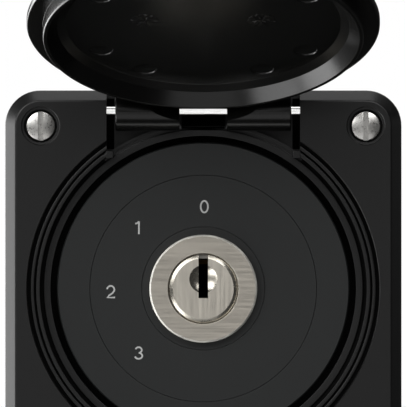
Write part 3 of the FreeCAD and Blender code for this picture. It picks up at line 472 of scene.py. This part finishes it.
# Brush lines are drawn coarser than real ones, so that they show as a fine streaked sheen.
ROSETTE_NICKEL = brushed_metal("nickel_brushed_across", "#C7C1B6", 0.42, (0.03, 1, 1),
                               0.32, 0.006, 0.13)
PLUG_NICKEL = brushed_metal("nickel_brushed_upright", "#DDD7CB", 0.4, (1, 1, 0.03),
                            0.32, 0.008, 0.16)
SCREW_NICKEL = brushed_metal("nickel_plated_turned_steel", "#E8E6E2", 0.3, (1, 1, 1), 0.5)
PIN_STEEL = brushed_metal("ground_stainless_steel", "#F4F4F3", 0.13, (0.1, 1, 1), 0.2,
                          0.001, 0.04)
BRASS = plated_metal("bare_brass", "#C9A35A", 0.28)
ZINC = plated_metal("zinc_plated_steel", "#BFC3C7", 0.30)
SPRING_STEEL = plated_metal("blued_spring_steel", "#8C9094", 0.30)


def print_ink():
    """Pad-printed ink: matt pale grey with slightly uneven cover."""
    material, tree, shader, coords = start_material(
        "pale_grey_print_ink", Base_Color=linear("#BDBEBD"), IOR=1.45, Roughness=0.6)
    cover = add(tree, "ShaderNodeTexNoise", {"Scale": per_metre(0.5), "Detail": 2},
                {"Vector": coords})
    shade = add(tree, "ShaderNodeMix", {}, {"Factor": cover.outputs["Fac"]}, data_type="RGBA")
    shade.inputs["A"].default_value = linear("#B0B1B0")
    shade.inputs["B"].default_value = linear("#CACBCA")
    tree.links.new(shade.outputs["Result"], shader.inputs["Base Color"])
    return material


INK = print_ink()
# Nickel left as the tool cut it: bevel and dimple are smoother than the brushed faces beside
# them. The rim is a painted highlight, a near-white ring; the notch floor, keyway and lock
# wafers are painted shade, darker copies of nickel and brass.
POLISHED_NICKEL = plated_metal("polished_nickel_edge", "#CFCABE", 0.26, 0.03)
RIM_PAINTED_HIGHLIGHT = plated_metal("nickel_rim_painted_highlight", "#FBF8F1", 0.68)
NICKEL_PAINTED_SHADE = plated_metal("nickel_recess_painted_shade", "#8B8883", 0.5)
KEYWAY_PAINTED_SHADE = plated_metal("keyway_painted_shade", "#1C1A17", 0.55)
WAFER_BRASS_PAINTED_SHADE = plated_metal("wafer_brass_painted_shade", "#4A3A1E", 0.5)


# ------------------------------------------------------------------ flange plate

def corners(reach):
    return [(-reach, -reach), (reach, -reach), (reach, reach), (-reach, reach)]


def flange_slab():
    """Square slab with round corners, bevelled along the front, each bevel edge eased."""
    slab = block((-HALF, FACE, -HALF), (HALF, BACK, HALF))
    upright = [e for e in slab.edges
               if abs(e.verts[0].co.y - e.verts[1].co.y) > 1]
    bmesh.ops.bevel(slab, geom=upright, offset=CORNER, offset_type="OFFSET", segments=14,
                    profile=0.5, affect="EDGES", clamp_overlap=True, material=-1)
    front = [e for e in slab.edges if all(abs(v.co.y - FACE) < 1e-3 for v in e.verts)]
    bmesh.ops.bevel(slab, geom=front, offset=BEVEL, offset_type="OFFSET", segments=1,
                    profile=0.5, affect="EDGES", clamp_overlap=True, material=-1)
    inner = [e for e in slab.edges if all(abs(v.co.y - FACE) < 1e-3 for v in e.verts)]
    outer = [e for e in slab.edges
             if all(abs(v.co.y - FACE - BEVEL) < 1e-3 for v in e.verts)]
    rear = [e for e in slab.edges if all(abs(v.co.y - BACK) < 1e-3 for v in e.verts)]
    ease(slab, 0.22, 3, inner + outer + rear)
    return settle(slab)


def recess():
    """Everything the round recess takes out of the plate, from the face to the tub's end."""
    ridge = FACE + 0.65
    floor = FACE + 1.6
    land = FACE + 3.4
    outline = [(0, FACE - 1), (RIM + 0.18, FACE - 1), (RIM + 0.18, FACE), (RIM, FACE + 0.18),
               (RIM, floor), (RIM - 0.7, floor), (RIM - 0.7, ridge), (RIM - 1.3, ridge),
               (RIM - 1.3, floor), (RIM - 1.7, floor), (RIM - 1.7, ridge), (RIM - 2.4, ridge),
               (RIM - 2.4, land + 0.5), (RIM - 3.1, land + 0.5), (RIM - 3.1, land),
               (GAP, land), (GAP, SEAT), (WEB_BORE, SEAT), (WEB_BORE, SEAT + 4),
               (TUB - 2.5, SEAT + 4), (TUB - 2.5, TUB_END + 1), (0, TUB_END + 1)]
    return lathe(outline, 0.12, arc=2)


def hinge_cut():
    """Pocket for the lid's barrel, open at the plate's top edge, ending at an arc."""
    inner = RIM - 1.9
    side = math.acos(CUT_HALF / inner)
    arc = []
    for step in range(25):
        angle = side + (math.pi - 2 * side) * step / 24
        arc.append((inner * math.cos(angle), inner * math.sin(angle)))
    outline = arc + [(-CUT_HALF, HALF + 1), (CUT_HALF, HALF + 1)]
    return prism(outline, FACE - 1, FACE + 5.8)


def plain_land():
    """Takes the recess's ridges away below the barrel."""
    side = math.acos(CUT_HALF / (RIM - 1.9))
    inner, outer = RIM - 3.05, RIM - 1.85
    angles = [side + (math.pi - 2 * side) * step / 24 for step in range(25)]
    outline = [(inner * math.cos(angle), inner * math.sin(angle)) for angle in angles]
    outline += [(outer * math.cos(angle), outer * math.sin(angle)) for angle in reversed(angles)]
    return prism(outline, FACE - 1, FACE + 3.42)


def front_plate():
    collar = TUB + 1
    tub = lathe([(TUB - 4, BACK - 2), (collar, BACK - 2), (collar, 0), (TUB, 0.02),
                 (TUB, TUB_END), (TUB - 4, TUB_END)], 0.3)
    wells = []
    for x, z in corners(SCREW_PLACE):
        wells.append(lathe([(0, FACE - 1), (WELL + 0.55, FACE - 1), (WELL + 0.55, FACE),
                            (WELL + 0.42, FACE + 0.13), (WELL + 0.42, FACE + 0.3),
                            (WELL, FACE + 0.3), (WELL, FACE + 3),
                            (1.7, FACE + 3), (1.7, BACK + 1), (0, BACK + 1)], 0.06, 64,
                           centre=(x, 0, z)))
    lug_half = NOTCH_HALF - 0.35
    lug = block((-lug_half, PIN_Y + 0.2, PIN_Z - 3), (lug_half, FACE + 6.5, PIN_Z + 0.9))
    screw_ring = WEB_BORE + 1.2
    carrier_holes = [rod(1.26, (x, SEAT + 0.4, z), (x, SEAT + 5, z))
                     for x, z in ((screw_ring, 0), (-screw_ring, 0), (0, screw_ring),
                                  (0, -screw_ring))]
    side_slots = []
    ledges = []
    for side in (-1, 1):
        middle = side * (CUT_HALF - 0.7)
        side_slots.append(block((middle - 0.7, FACE + 2, PIN_Z - 7.2),
                                (middle + 0.7, FACE + 7.4, HALF - 1.5)))
        middle = side * (CUT_HALF - 0.6)
        ledge = block((middle - 0.7, FACE + 0.5, PIN_Z - 8.9),
                      (middle + 0.7, FACE + 6, PIN_Z - 7.6))
        ledges.append(ease(ledge, 0.15))
    plate = combine(flange_slab(), ("UNION", tub), ("DIFFERENCE", recess()),
                    ("DIFFERENCE", hinge_cut()), ("DIFFERENCE", plain_land()),
                    *[("UNION", ledge) for ledge in ledges],
                    *[("DIFFERENCE", slot) for slot in side_slots],
                    *[("DIFFERENCE", hole) for hole in carrier_holes],
                    ("DIFFERENCE", rod(BARREL + 0.3, (-CUT_HALF, PIN_Y, PIN_Z),
                                       (CUT_HALF, PIN_Y, PIN_Z), 64)),
                    ("UNION", ease(lug, 0.15)),
                    ("DIFFERENCE", rod(PIN_R + 0.02, (-CUT_HALF - 5.3, PIN_Y, PIN_Z),
                                       (HALF + 1, PIN_Y, PIN_Z))),
                    ("DIFFERENCE", block((-lug_half + 0.12, PIN_Y - 1, PIN_Z - 2.85),
                                         (lug_half - 0.12, FACE + 7.2, PIN_Z - 0.85))),
                    *[("DIFFERENCE", well) for well in wells])
    made = piece("front_plate_moulding", plate, "base", FACE_BLACK,
                 ["front_plate"])
    # Painted shade: deep groove floors, the lug's pocket and the side slots get a darker, duller black.
    made.data.materials.append(GROOVE_PAINTED_SHADE)
    for face in made.data.polygons:
        middle = face.center / MM
        spots = [made.data.vertices[index].co / MM for index in face.vertices]
        reaches = [math.hypot(spot.x, spot.z) for spot in spots]
        across = abs(middle.x)
        below_barrel = across < CUT_HALF and middle.z > 0
        outside = GAP + 0.05 if below_barrel else RIM + 0.03
        ring = WEB_BORE - 0.1 < min(reaches) and max(reaches) < outside
        deep = FACE + 0.9 < middle.y < SEAT + 0.1 and abs(middle.y - FACE - 3.4) > 0.1
        widest = max(abs(spot.x) for spot in spots)
        lug_face = widest < lug_half and middle.y > PIN_Y and -3.2 < middle.z - PIN_Z < -0.5
        slot_face = CUT_HALF - 1.45 < across < CUT_HALF - 0.05 and middle.y > FACE + 5.9
        side_slot = slot_face and middle.y < FACE + 7.5 and middle.z > PIN_Z - 7.3
        lug_pocket = lug_face and middle.y < SEAT + 1
        if (ring and deep) or lug_pocket or side_slot:
            face.material_index = 1
    return made


front_plate()

# ------------------------------------------------------------------ lid
# Drawn closed, about the hinge axis, then turned open.

def ejector_mark(angle, floor):
    """Shallow round dent that an ejector pin leaves inside the lid."""
    reach = LID_RADIUS - 10.75
    place = (reach * math.cos(math.radians(angle)), 0,
             reach * math.sin(math.radians(angle)) - PIN_Z)
    return lathe([(0, floor - 0.2), (2.1, floor - 0.2), (2.25, floor + 0.05),
                  (2.25, floor + 1), (0, floor + 1)], 0.05, 48, arc=2, centre=place)


def stamp(x, floor):
    """Raised disc with a wavy top, a plain mould mark."""
    disc = lathe([(0, floor + 0.09), (1.5, floor + 0.06), (2.6, floor + 0.02),
                  (2.7, floor - 0.3), (0, floor - 0.3)], 0.02, 24, arc=1,
                 centre=(x, 0, -PIN_Z - 1.5))
    bmesh.ops.subdivide_edges(disc, edges=disc.edges, cuts=1, use_grid_fill=True)
    for vert in disc.verts:
        if vert.co.y > floor:
            vert.co.y += 0.14 * math.sin(vert.co.x * 9) * math.sin(vert.co.z * 7)
    return disc


def lid_shell():
    under, edge, top, floor, lip_rim = -1.2, -2.9, -4.6, -1.7, 1.57
    centre = (0, 0, -PIN_Z)
    shell = lathe([(0, top), (LID_RADIUS - 5, top + 0.2), (LID_RADIUS - 1.6, top + 0.75),
                   (LID_RADIUS - 0.45, edge - 0.45), (LID_RADIUS, edge + 0.5),
                   (LID_RADIUS, under), (LIP, under), (LIP, lip_rim), (LIP - 0.75, lip_rim),
                   (LIP - 2.65, lip_rim - 2.4), (LIP - 4.25, floor), (0, floor)],
                  0.3, arc=4, centre=centre)
    barrel = rod(BARREL, (-BARREL_HALF, 0, 0), (BARREL_HALF, 0, 0), 96)
    ease(barrel, 0.25, 3, [e for e in barrel.edges if abs(e.verts[0].co.x - e.verts[1].co.x) < 1])
    web = block((-BARREL_HALF + 0.05, -BARREL, -6.2), (BARREL_HALF - 0.05, under, 0))
    scoop = lathe([(LIP, under), (RIM - 1.6, under), (RIM - 1.6, BARREL + 1),
                   (LIP, BARREL + 1)], 0.02, arc=1, centre=centre)
    notch = prism([(-NOTCH_HALF, LID_RADIUS - PIN_Z), (NOTCH_HALF, LID_RADIUS - PIN_Z),
                   (NOTCH_HALF, BARREL + 1), (-NOTCH_HALF, BARREL + 1)], -BARREL - 1, under)
    low_notch = block((-NOTCH_HALF, under - 0.01, -BARREL - 0.5),
                      (NOTCH_HALF, BARREL + 1, BARREL + 1))
    tab = block((-6, edge - 1.2, -PIN_Z - LID_RADIUS - 2.2),
                (6, under - 0.65, -PIN_Z - LID_RADIUS + 1.5))
    lid = combine(shell, ("UNION", barrel), ("UNION", web), ("DIFFERENCE", scoop),
                  ("DIFFERENCE", notch), ("DIFFERENCE", low_notch),
                  ("UNION", ease(tab, 0.5, 3)),
                  ("DIFFERENCE", rod(PIN_R + 0.03, (-BARREL_HALF - 1, 0, 0),
                                     (BARREL_HALF + 1, 0, 0))))
    marks = [ejector_mark(angle, floor) for angle in (30, 60, 120, 150, 210, 240, 300, 330)]
    lid = combine(lid, *[("DIFFERENCE", mark) for mark in marks],
                  *[("UNION", stamp(side * 10.8, floor)) for side in (-1, 1)])
    turn = Matrix.Rotation(math.radians(-LID_OPEN), 3, "X")
    bmesh.ops.rotate(lid, cent=(0, 0, 0), matrix=turn, verts=lid.verts)
    bmesh.ops.translate(lid, vec=(0, PIN_Y, PIN_Z), verts=lid.verts)
    return piece("lid_moulding", lid, "lid", LID_BLACK, ["lid_shell"])


lid_shell()

# ------------------------------------------------------------------ hinge pin

def hinge_pin():
    reach = pin_high.x
    outline = [(0, -reach), (PIN_R, -reach), (PIN_R, reach), (0, reach)]
    pin = lathe(outline, 0.2, 48)
    bmesh.ops.rotate(pin, cent=(0, 0, 0), matrix=Matrix.Rotation(math.pi / 2, 3, "Z"),
                     verts=pin.verts)
    # A shallow flat along the front, turned a little downwards, catches the light evenly.
    flat = block((-CUT_HALF, -2, -1), (CUT_HALF, -0.83 * PIN_R, 1))
    bmesh.ops.rotate(flat, cent=(0, 0, 0), matrix=Matrix.Rotation(math.radians(5), 3, "X"),
                     verts=flat.verts)
    pin = without(pin, flat)
    bmesh.ops.translate(pin, vec=(0, PIN_Y, PIN_Z), verts=pin.verts)
    return piece("hinge_pin_steel", pin, "base", PIN_STEEL, ["hinge_pin"])


hinge_pin()

# ------------------------------------------------------------------ dial

def dial():
    back = DIAL_FRONT + 2
    ring = lathe([(DIAL_JOINT, DIAL_FRONT), (DIAL - 0.25, DIAL_FRONT), (DIAL, DIAL_FRONT + 0.25),
                  (DIAL, SEAT - 0.6), (WEB_BORE + 0.2, SEAT - 0.6), (WEB_BORE + 0.2, back),
                  (DIAL_JOINT - 1.5, back), (DIAL_JOINT - 1.5, DIAL_FRONT + 1),
                  (DIAL_JOINT, DIAL_FRONT + 1)], 0.06, arc=2)
    piece("dial_ring_moulding", ring, "base", DIAL_BLACK, ["dial_ring"])
    # A faint turned line runs round the rosette.
    line = ROSETTE + 1.45
    disc = lathe([(9.05, DIAL_FRONT), (line - 0.08, DIAL_FRONT), (line - 0.06, DIAL_FRONT + 0.18),
                  (line + 0.06, DIAL_FRONT + 0.18), (line + 0.08, DIAL_FRONT),
                  (DIAL_JOINT - 0.08, DIAL_FRONT),
                  (DIAL_JOINT - 0.08, DIAL_FRONT + 0.98), (DIAL_JOINT - 1.58, DIAL_FRONT + 0.98),
                  (DIAL_JOINT - 1.58, back), (9.05, back)], 0.05, arc=2)
    piece("dial_disc_moulding", disc, "base", DIAL_BLACK, ["dial_disc"])


dial()


def arc_points(x, z, across, up, start, end, steps=14):
    """Points along an ellipse's arc, in degrees from the right, anticlockwise."""
    points = []
    for step in range(steps + 1):
        angle = math.radians(start + (end - start) * step / steps)
        points.append((x + across * math.cos(angle), z + up * math.sin(angle)))
    return points


# Strokes of each printed number, along their middle line, about the number's centre.
NUMBER_STROKES = {
    "0": [arc_points(0, 0, 0.68, 1.1, 0, 360, 32)],
    "1": [[(0.22, -1.3), (0.22, 1.1)], [(0.22, 1.1), (0.02, 0.86), (-0.2, 0.74), (-0.48, 0.68)]],
    "2": [arc_points(-0.02, 0.42, 0.68, 0.68, 175, -35) + [(0.3, -0.28), (-0.35, -0.72),
                                                            (-0.68, -1.1), (0.78, -1.1)]],
    "3": [arc_points(-0.04, 0.56, 0.6, 0.54, 165, -88),
          arc_points(-0.04, -0.53, 0.7, 0.57, 88, -165)],
}
NUMBER_PLACES = {"0": (0.2, 15.5), "1": (-12.4, 11.6), "2": (-17.5, -0.6), "3": (-12.2, -12.2)}


def printed_number(number):
    """Flat strokes of ink on the dial disc."""
    centre_x, centre_z = NUMBER_PLACES[number]
    curve = bpy.data.curves.new("stroke", "CURVE")
    curve.dimensions = "3D"
    curve.bevel_depth = 0.165
    curve.bevel_resolution = 3
    curve.use_fill_caps = True
    for stroke in NUMBER_STROKES[number]:
        spline = curve.splines.new("POLY")
        spline.points.add(len(stroke) - 1)
        for point, (x, z) in zip(spline.points, stroke):
            point.co = (centre_x + x, 0, centre_z + z, 1)
    thing = bpy.data.objects.new("stroke", curve)
    bpy.context.scene.collection.objects.link(thing)
    bm = bmesh.new()
    bm.from_mesh(thing.evaluated_get(bpy.context.evaluated_depsgraph_get()).to_mesh())
    bpy.data.objects.remove(thing)
    bpy.data.curves.remove(curve)
    bmesh.ops.scale(bm, vec=(1, 0.1, 1), verts=bm.verts)
    bmesh.ops.translate(bm, vec=(0, DIAL_FRONT - 0.005, 0), verts=bm.verts)
    return piece("number_" + number, settle(bm), "base", INK)


for number in NUMBER_PLACES:
    printed_number(number)

# ------------------------------------------------------------------ lock

def lock_body():
    body = lathe([(PLUG + 0.06, ROSETTE_FRONT + 0.1), (PLUG + 0.12, ROSETTE_FRONT),
                  (ROSETTE - 0.3, ROSETTE_FRONT), (ROSETTE, ROSETTE_FRONT + 0.3),
                  (ROSETTE, DIAL_FRONT), (9, DIAL_FRONT), (9, LOCK_END - 0.6),
                  (8.4, LOCK_END), (6.25, LOCK_END), (6.25, SHOULDER + 0.1),
                  (PLUG + 0.06, SHOULDER + 0.1)], 0.08)
    flat = block((-10, DIAL_FRONT + 2, -1), (-8.2, LOCK_END + 1, 1))
    made = piece("rosette_and_lock_body", without(body, flat), "base",
                 ROSETTE_NICKEL, ["lock_body"])
    # Painted highlight: faces on the rim's bevel get a near-white nickel.
    made.data.materials.append(RIM_PAINTED_HIGHLIGHT)
    for face in made.data.polygons:
        middle = face.center / MM
        on_rim = math.hypot(middle.x, middle.z) > ROSETTE - 0.4
        if on_rim and middle.y < ROSETTE_FRONT + 0.35 and 0.2 < abs(face.normal.y) < 0.97:
            face.material_index = 1
    return made


def lock_plug():
    key_half, key_low, key_top = 0.9, -1.8, 5.7
    drive = LOCK_END + 0.35
    tail = plug_high.y
    rim = PLUG - 0.14
    plug = lathe([(0, PLUG_FRONT), (rim - 0.72, PLUG_FRONT), (rim, PLUG_FRONT + 0.31),
                  (rim, SHOULDER - 0.6), (PLUG, SHOULDER - 0.6), (PLUG, SHOULDER),
                  (6.2, SHOULDER), (6.2, drive), (0, drive)], 0.04, 128)
    slot = block((-key_half, PLUG_FRONT - 1, key_low), (key_half, LOCK_END - 2.5, key_top))
    notch_floor = PLUG_FRONT + 0.8
    notch = block((-key_half - 0.02, PLUG_FRONT - 1, key_top - 0.5),
                  (key_half + 0.02, notch_floor, PLUG + 1))
    dimple = bmesh.new()
    bmesh.ops.create_uvsphere(dimple, u_segments=64, v_segments=48, radius=4.35)
    bmesh.ops.translate(dimple, vec=(0, PLUG_FRONT - 3.45, 1.8), verts=dimple.verts)
    tail_bar = ease(block((-3, drive - 0.5, -3), (3, tail, 3)), 0.2)
    plug = combine(plug, ("UNION", tail_bar), ("DIFFERENCE", dimple), ("DIFFERENCE", slot),
                   ("DIFFERENCE", notch))
    made = piece("lock_plug_turned", plug, "selector", PLUG_NICKEL, ["lock_plug"])
    # Painted shade: the keyway gets a near-black nickel and the notch floor a darker nickel.
    keyway, recess_floor, polished = 1, 2, 3
    for finish in (KEYWAY_PAINTED_SHADE, NICKEL_PAINTED_SHADE, POLISHED_NICKEL):
        made.data.materials.append(finish)
    for face in made.data.polygons:
        middle = face.center / MM
        inside = abs(middle.x) < key_half + 0.01 and key_low - 0.01 < middle.z < key_top + 0.01
        if inside and middle.y > PLUG_FRONT + 0.02:
            face.material_index = keyway
        elif abs(middle.x) < key_half + 0.03 and abs(middle.y - notch_floor) < 0.02:
            face.material_index = recess_floor
        elif middle.y < PLUG_FRONT + 1 and 0.02 < abs(face.normal.y) < 0.985:
            face.material_index = polished
    return made


lock_body()
lock_plug()

# ------------------------------------------------------------------ corner screws

def thread(radius, start, end, pitch):
    """Outline of a screw thread's crests and roots, from (radius, start) to the axis at the end."""
    depth = pitch * 0.6
    points = []
    turns = int((end - start - pitch) / pitch)
    for turn in range(turns):
        level = start + pitch * turn
        points.append((radius - depth, level + 0.1 * pitch))
        points.append((radius, level + 0.45 * pitch))
        points.append((radius, level + 0.6 * pitch))
        points.append((radius - depth, level + 0.95 * pitch))
    return points + [(radius - depth - 0.1, end), (0, end)]


def corner_screws():
    head_back = SCREW_FRONT + 2.2
    dome = [(SCREW_HEAD * share, SCREW_FRONT + 0.42 * share ** 2)
            for share in (0, 0.2, 0.4, 0.6, 0.8, 0.96)]
    screw = lathe(dome + [(SCREW_HEAD, SCREW_FRONT + 0.55), (SCREW_HEAD, head_back),
                          (NECK, head_back), (NECK, 0)] + thread(SCREW_SHANK, 0, SCREW_TIP, 0.5),
                  0.05, 64, arc=2)
    slot = block((-0.5, SCREW_FRONT - 1, -4), (0.5, SCREW_FRONT + 1.3, 4))
    screws = copies(without(screw, slot), corners(SCREW_PLACE))
    return piece("corner_screws_steel", screws, "base", SCREW_NICKEL,
                 ["corner_screws"])


corner_screws()

# ------------------------------------------------------------------ pieces that keep their shape

FINISHES = {
    "plate_black": FACE_BLACK, "lid_black": LID_BLACK, "dial_black": DIAL_BLACK,
    "seal_rubber": RUBBER, "screw_nickel": SCREW_NICKEL, "pin_steel": PIN_STEEL,
    "lock_nickel": ROSETTE_NICKEL, "plug_nickel": PLUG_NICKEL, "brass": BRASS,
    "zinc_steel": ZINC, "spring_steel": SPRING_STEEL, "carrier_black": CARRIER_BLACK,
    "case_grey": CASE_GREY, "rotor_white": ROTOR_WHITE,
}
SLOT_OF = {item["node"]: item["material_slot"] for item in frame["record"]["subparts"]}
for node_name, node in frame["nodes"].items():
    node.data.materials.clear()
    # Painted shade: the lock wafers get a dark copy of the brass for their place inside the plug.
    finish = WAFER_BRASS_PAINTED_SHADE if node_name == "lock_wafers" else FINISHES[SLOT_OF[node_name]]
    node.data.materials.append(finish)


def refined(node_name, width):
    """The same shape as a CAD node with its sharp edges eased, as moulding or stamping leaves them."""
    node = frame["nodes"][node_name]
    bm = bmesh.new()
    bm.from_mesh(node.data)
    bmesh.ops.remove_doubles(bm, verts=bm.verts, dist=1e-6)
    bmesh.ops.scale(bm, vec=(1 / MM, 1 / MM, 1 / MM), verts=bm.verts)
    bmesh.ops.dissolve_limit(bm, angle_limit=math.radians(1), verts=bm.verts, edges=bm.edges)
    ease(bm, width, 2, sharp_edges(bm, 40))
    slot_name = SLOT_OF[node_name]
    return piece(node_name + "_eased", bm, node["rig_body"], FINISHES[slot_name],
                 [node_name])


for node_name, width in {"index_housing": 0.3, "switch_case": 0.3, "contact_base": 0.25,
                         "rear_cover": 0.25, "lock_nut": 0.15, "terminal_clamps": 0.12,
                         "panel_gasket": 0.12, "insert_carrier": 0.15}.items():
    refined(node_name, width)


def coil_springs():
    """Five wafer springs, each a wound wire inside the plug."""
    low, high = (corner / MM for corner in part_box("wafer_springs"))
    wire = 0.07
    outer = (high.x - low.x) / 2
    turns = 9
    shapes = []
    for number in range(5):
        level = low.y + outer + (high.y - low.y - 2 * outer) * number / 4
        bm = bmesh.new()
        centre = ((low.x + high.x) / 2, level, low.z + wire)
        start = (centre[0] + outer - wire, level, low.z + wire)
        bmesh.ops.create_circle(bm, segments=6, radius=wire,
                                matrix=Matrix.Translation(start) @ Matrix.Rotation(math.pi / 2, 4, "X"))
        bmesh.ops.spin(bm, geom=bm.edges[:], cent=centre, axis=(0, 0, 1), angle=math.tau * turns,
                       dvec=(0, 0, (high.z - low.z - 2 * wire) / (turns * 16)), steps=turns * 16,
                       use_merge=False, use_duplicate=False)
        bmesh.ops.holes_fill(bm, edges=[e for e in bm.edges if e.is_boundary])
        shapes.append(settle(bm))
    return piece("wafer_springs_wound", merged(shapes), "selector",
                 SPRING_STEEL, ["wafer_springs"])


coil_springs()

# ------------------------------------------------------------------ studio

def softbox(name, place, target, width, height, power):
    """Rectangular lamp that points at a target: metres and watts."""
    lamp = bpy.data.lights.new(name, "AREA")
    lamp.shape = "RECTANGLE"
    lamp.size, lamp.size_y = width, height
    lamp.energy = power
    thing = bpy.data.objects.new(name, lamp)
    thing.location = place
    thing.rotation_euler = (Vector(target) - Vector(place)).to_track_quat("-Z", "Y").to_euler()
    bpy.context.scene.collection.objects.link(thing)
    return thing


def studio():
    # Most lamps stand well to the side, so that the floors of deep grooves stay dark.
    # The small pin reflector is there only to light the flat of the hinge pin.
    target = (0, 0, 0.02)
    softbox("left_softbox", (-0.95, 0.35, -0.25), (0, 0, 0.03), 1.5, 1.2, 27.5)
    softbox("front_left_softbox", (-0.85, -1.0, 0.7), target, 1.0, 0.9, 9)
    softbox("front_top_softbox", (0.2, -1.1, 0.8), target, 0.9, 0.5, 5.5)
    softbox("low_left_softbox", (-0.72, -0.62, -0.58), (0, 0, 0.03), 0.6, 0.5, 3.2)
    softbox("pin_reflector", (0, -1.5, -0.24), (0, 0, 0.03), 0.16, 0.16, 0.09)
    softbox("top_softbox", (0, 0.15, 1.05), target, 0.7, 0.3, 2.1)
    softbox("low_front_fill", (0, -0.95, -0.58), (0, 0, 0.03), 0.8, 0.6, 0.9)
    softbox("right_reflector", (0.9, 0.15, 0.12), (0, 0, 0.02), 0.2, 0.2, 0.1)
    softbox("front_high_fill", (0, -1.55, 0.5), target, 0.9, 0.4, 0.35)
    softbox("front_fill", (-0.2, -1.7, 0.0), target, 1.0, 1.0, 0.5)
    softbox("rear_softbox", (0.5, 1.5, 1.2), target, 1.8, 1.6, 18)
    softbox("rear_left_softbox", (-1.2, 1.3, 0.2), target, 0.8, 1.0, 8)
    world = bpy.data.worlds.new("studio")
    bpy.context.scene.world = world
    world.use_nodes = True
    tree = world.node_tree
    tree.nodes.clear()
    white = add(tree, "ShaderNodeBackground", {"Color": (1, 1, 1, 1), "Strength": 1.0})
    soft = add(tree, "ShaderNodeBackground", {"Color": (1, 1, 1, 1), "Strength": 0.04})
    path = add(tree, "ShaderNodeLightPath")
    mix = add(tree, "ShaderNodeMixShader", {}, {"Fac": path.outputs["Is Camera Ray"]})
    tree.links.new(soft.outputs["Background"], mix.inputs[1])
    tree.links.new(white.outputs["Background"], mix.inputs[2])
    add(tree, "ShaderNodeOutputWorld", {}, {"Surface": mix.outputs["Shader"]})
    floor_mesh = bpy.data.meshes.new("floor")
    bm = bmesh.new()
    bmesh.ops.create_grid(bm, x_segments=1, y_segments=1, size=0.18)
    bmesh.ops.translate(bm, vec=(0, 0, cad_low.z - 0.8), verts=bm.verts)
    bm.to_mesh(floor_mesh)
    bm.free()
    paper = start_material("pale_paper_floor", Base_Color=linear("#F2F2F0"), Roughness=0.8)[0]
    floor_mesh.materials.append(paper)
    floor = bpy.data.objects.new("floor", floor_mesh)
    bpy.context.scene.collection.objects.link(floor)
    bpy.context.scene.view_settings.view_transform = "Standard"


def camera():
    """Long lens, square to the plate, with the lock below the middle of the frame."""
    field = 76.9 * MM
    distance = 1.5
    lens = bpy.data.cameras.new("camera")
    lens.sensor_width = 36
    lens.lens = lens.sensor_width * distance / field
    lens.clip_start, lens.clip_end = 0.1, 20
    thing = bpy.data.objects.new("camera", lens)
    thing.location = (0.00004, FACE * MM - distance, 16.1 * MM)
    thing.rotation_euler = (math.pi / 2, 0, 0)
    bpy.context.scene.collection.objects.link(thing)
    bpy.context.scene.camera = thing


studio()
camera()
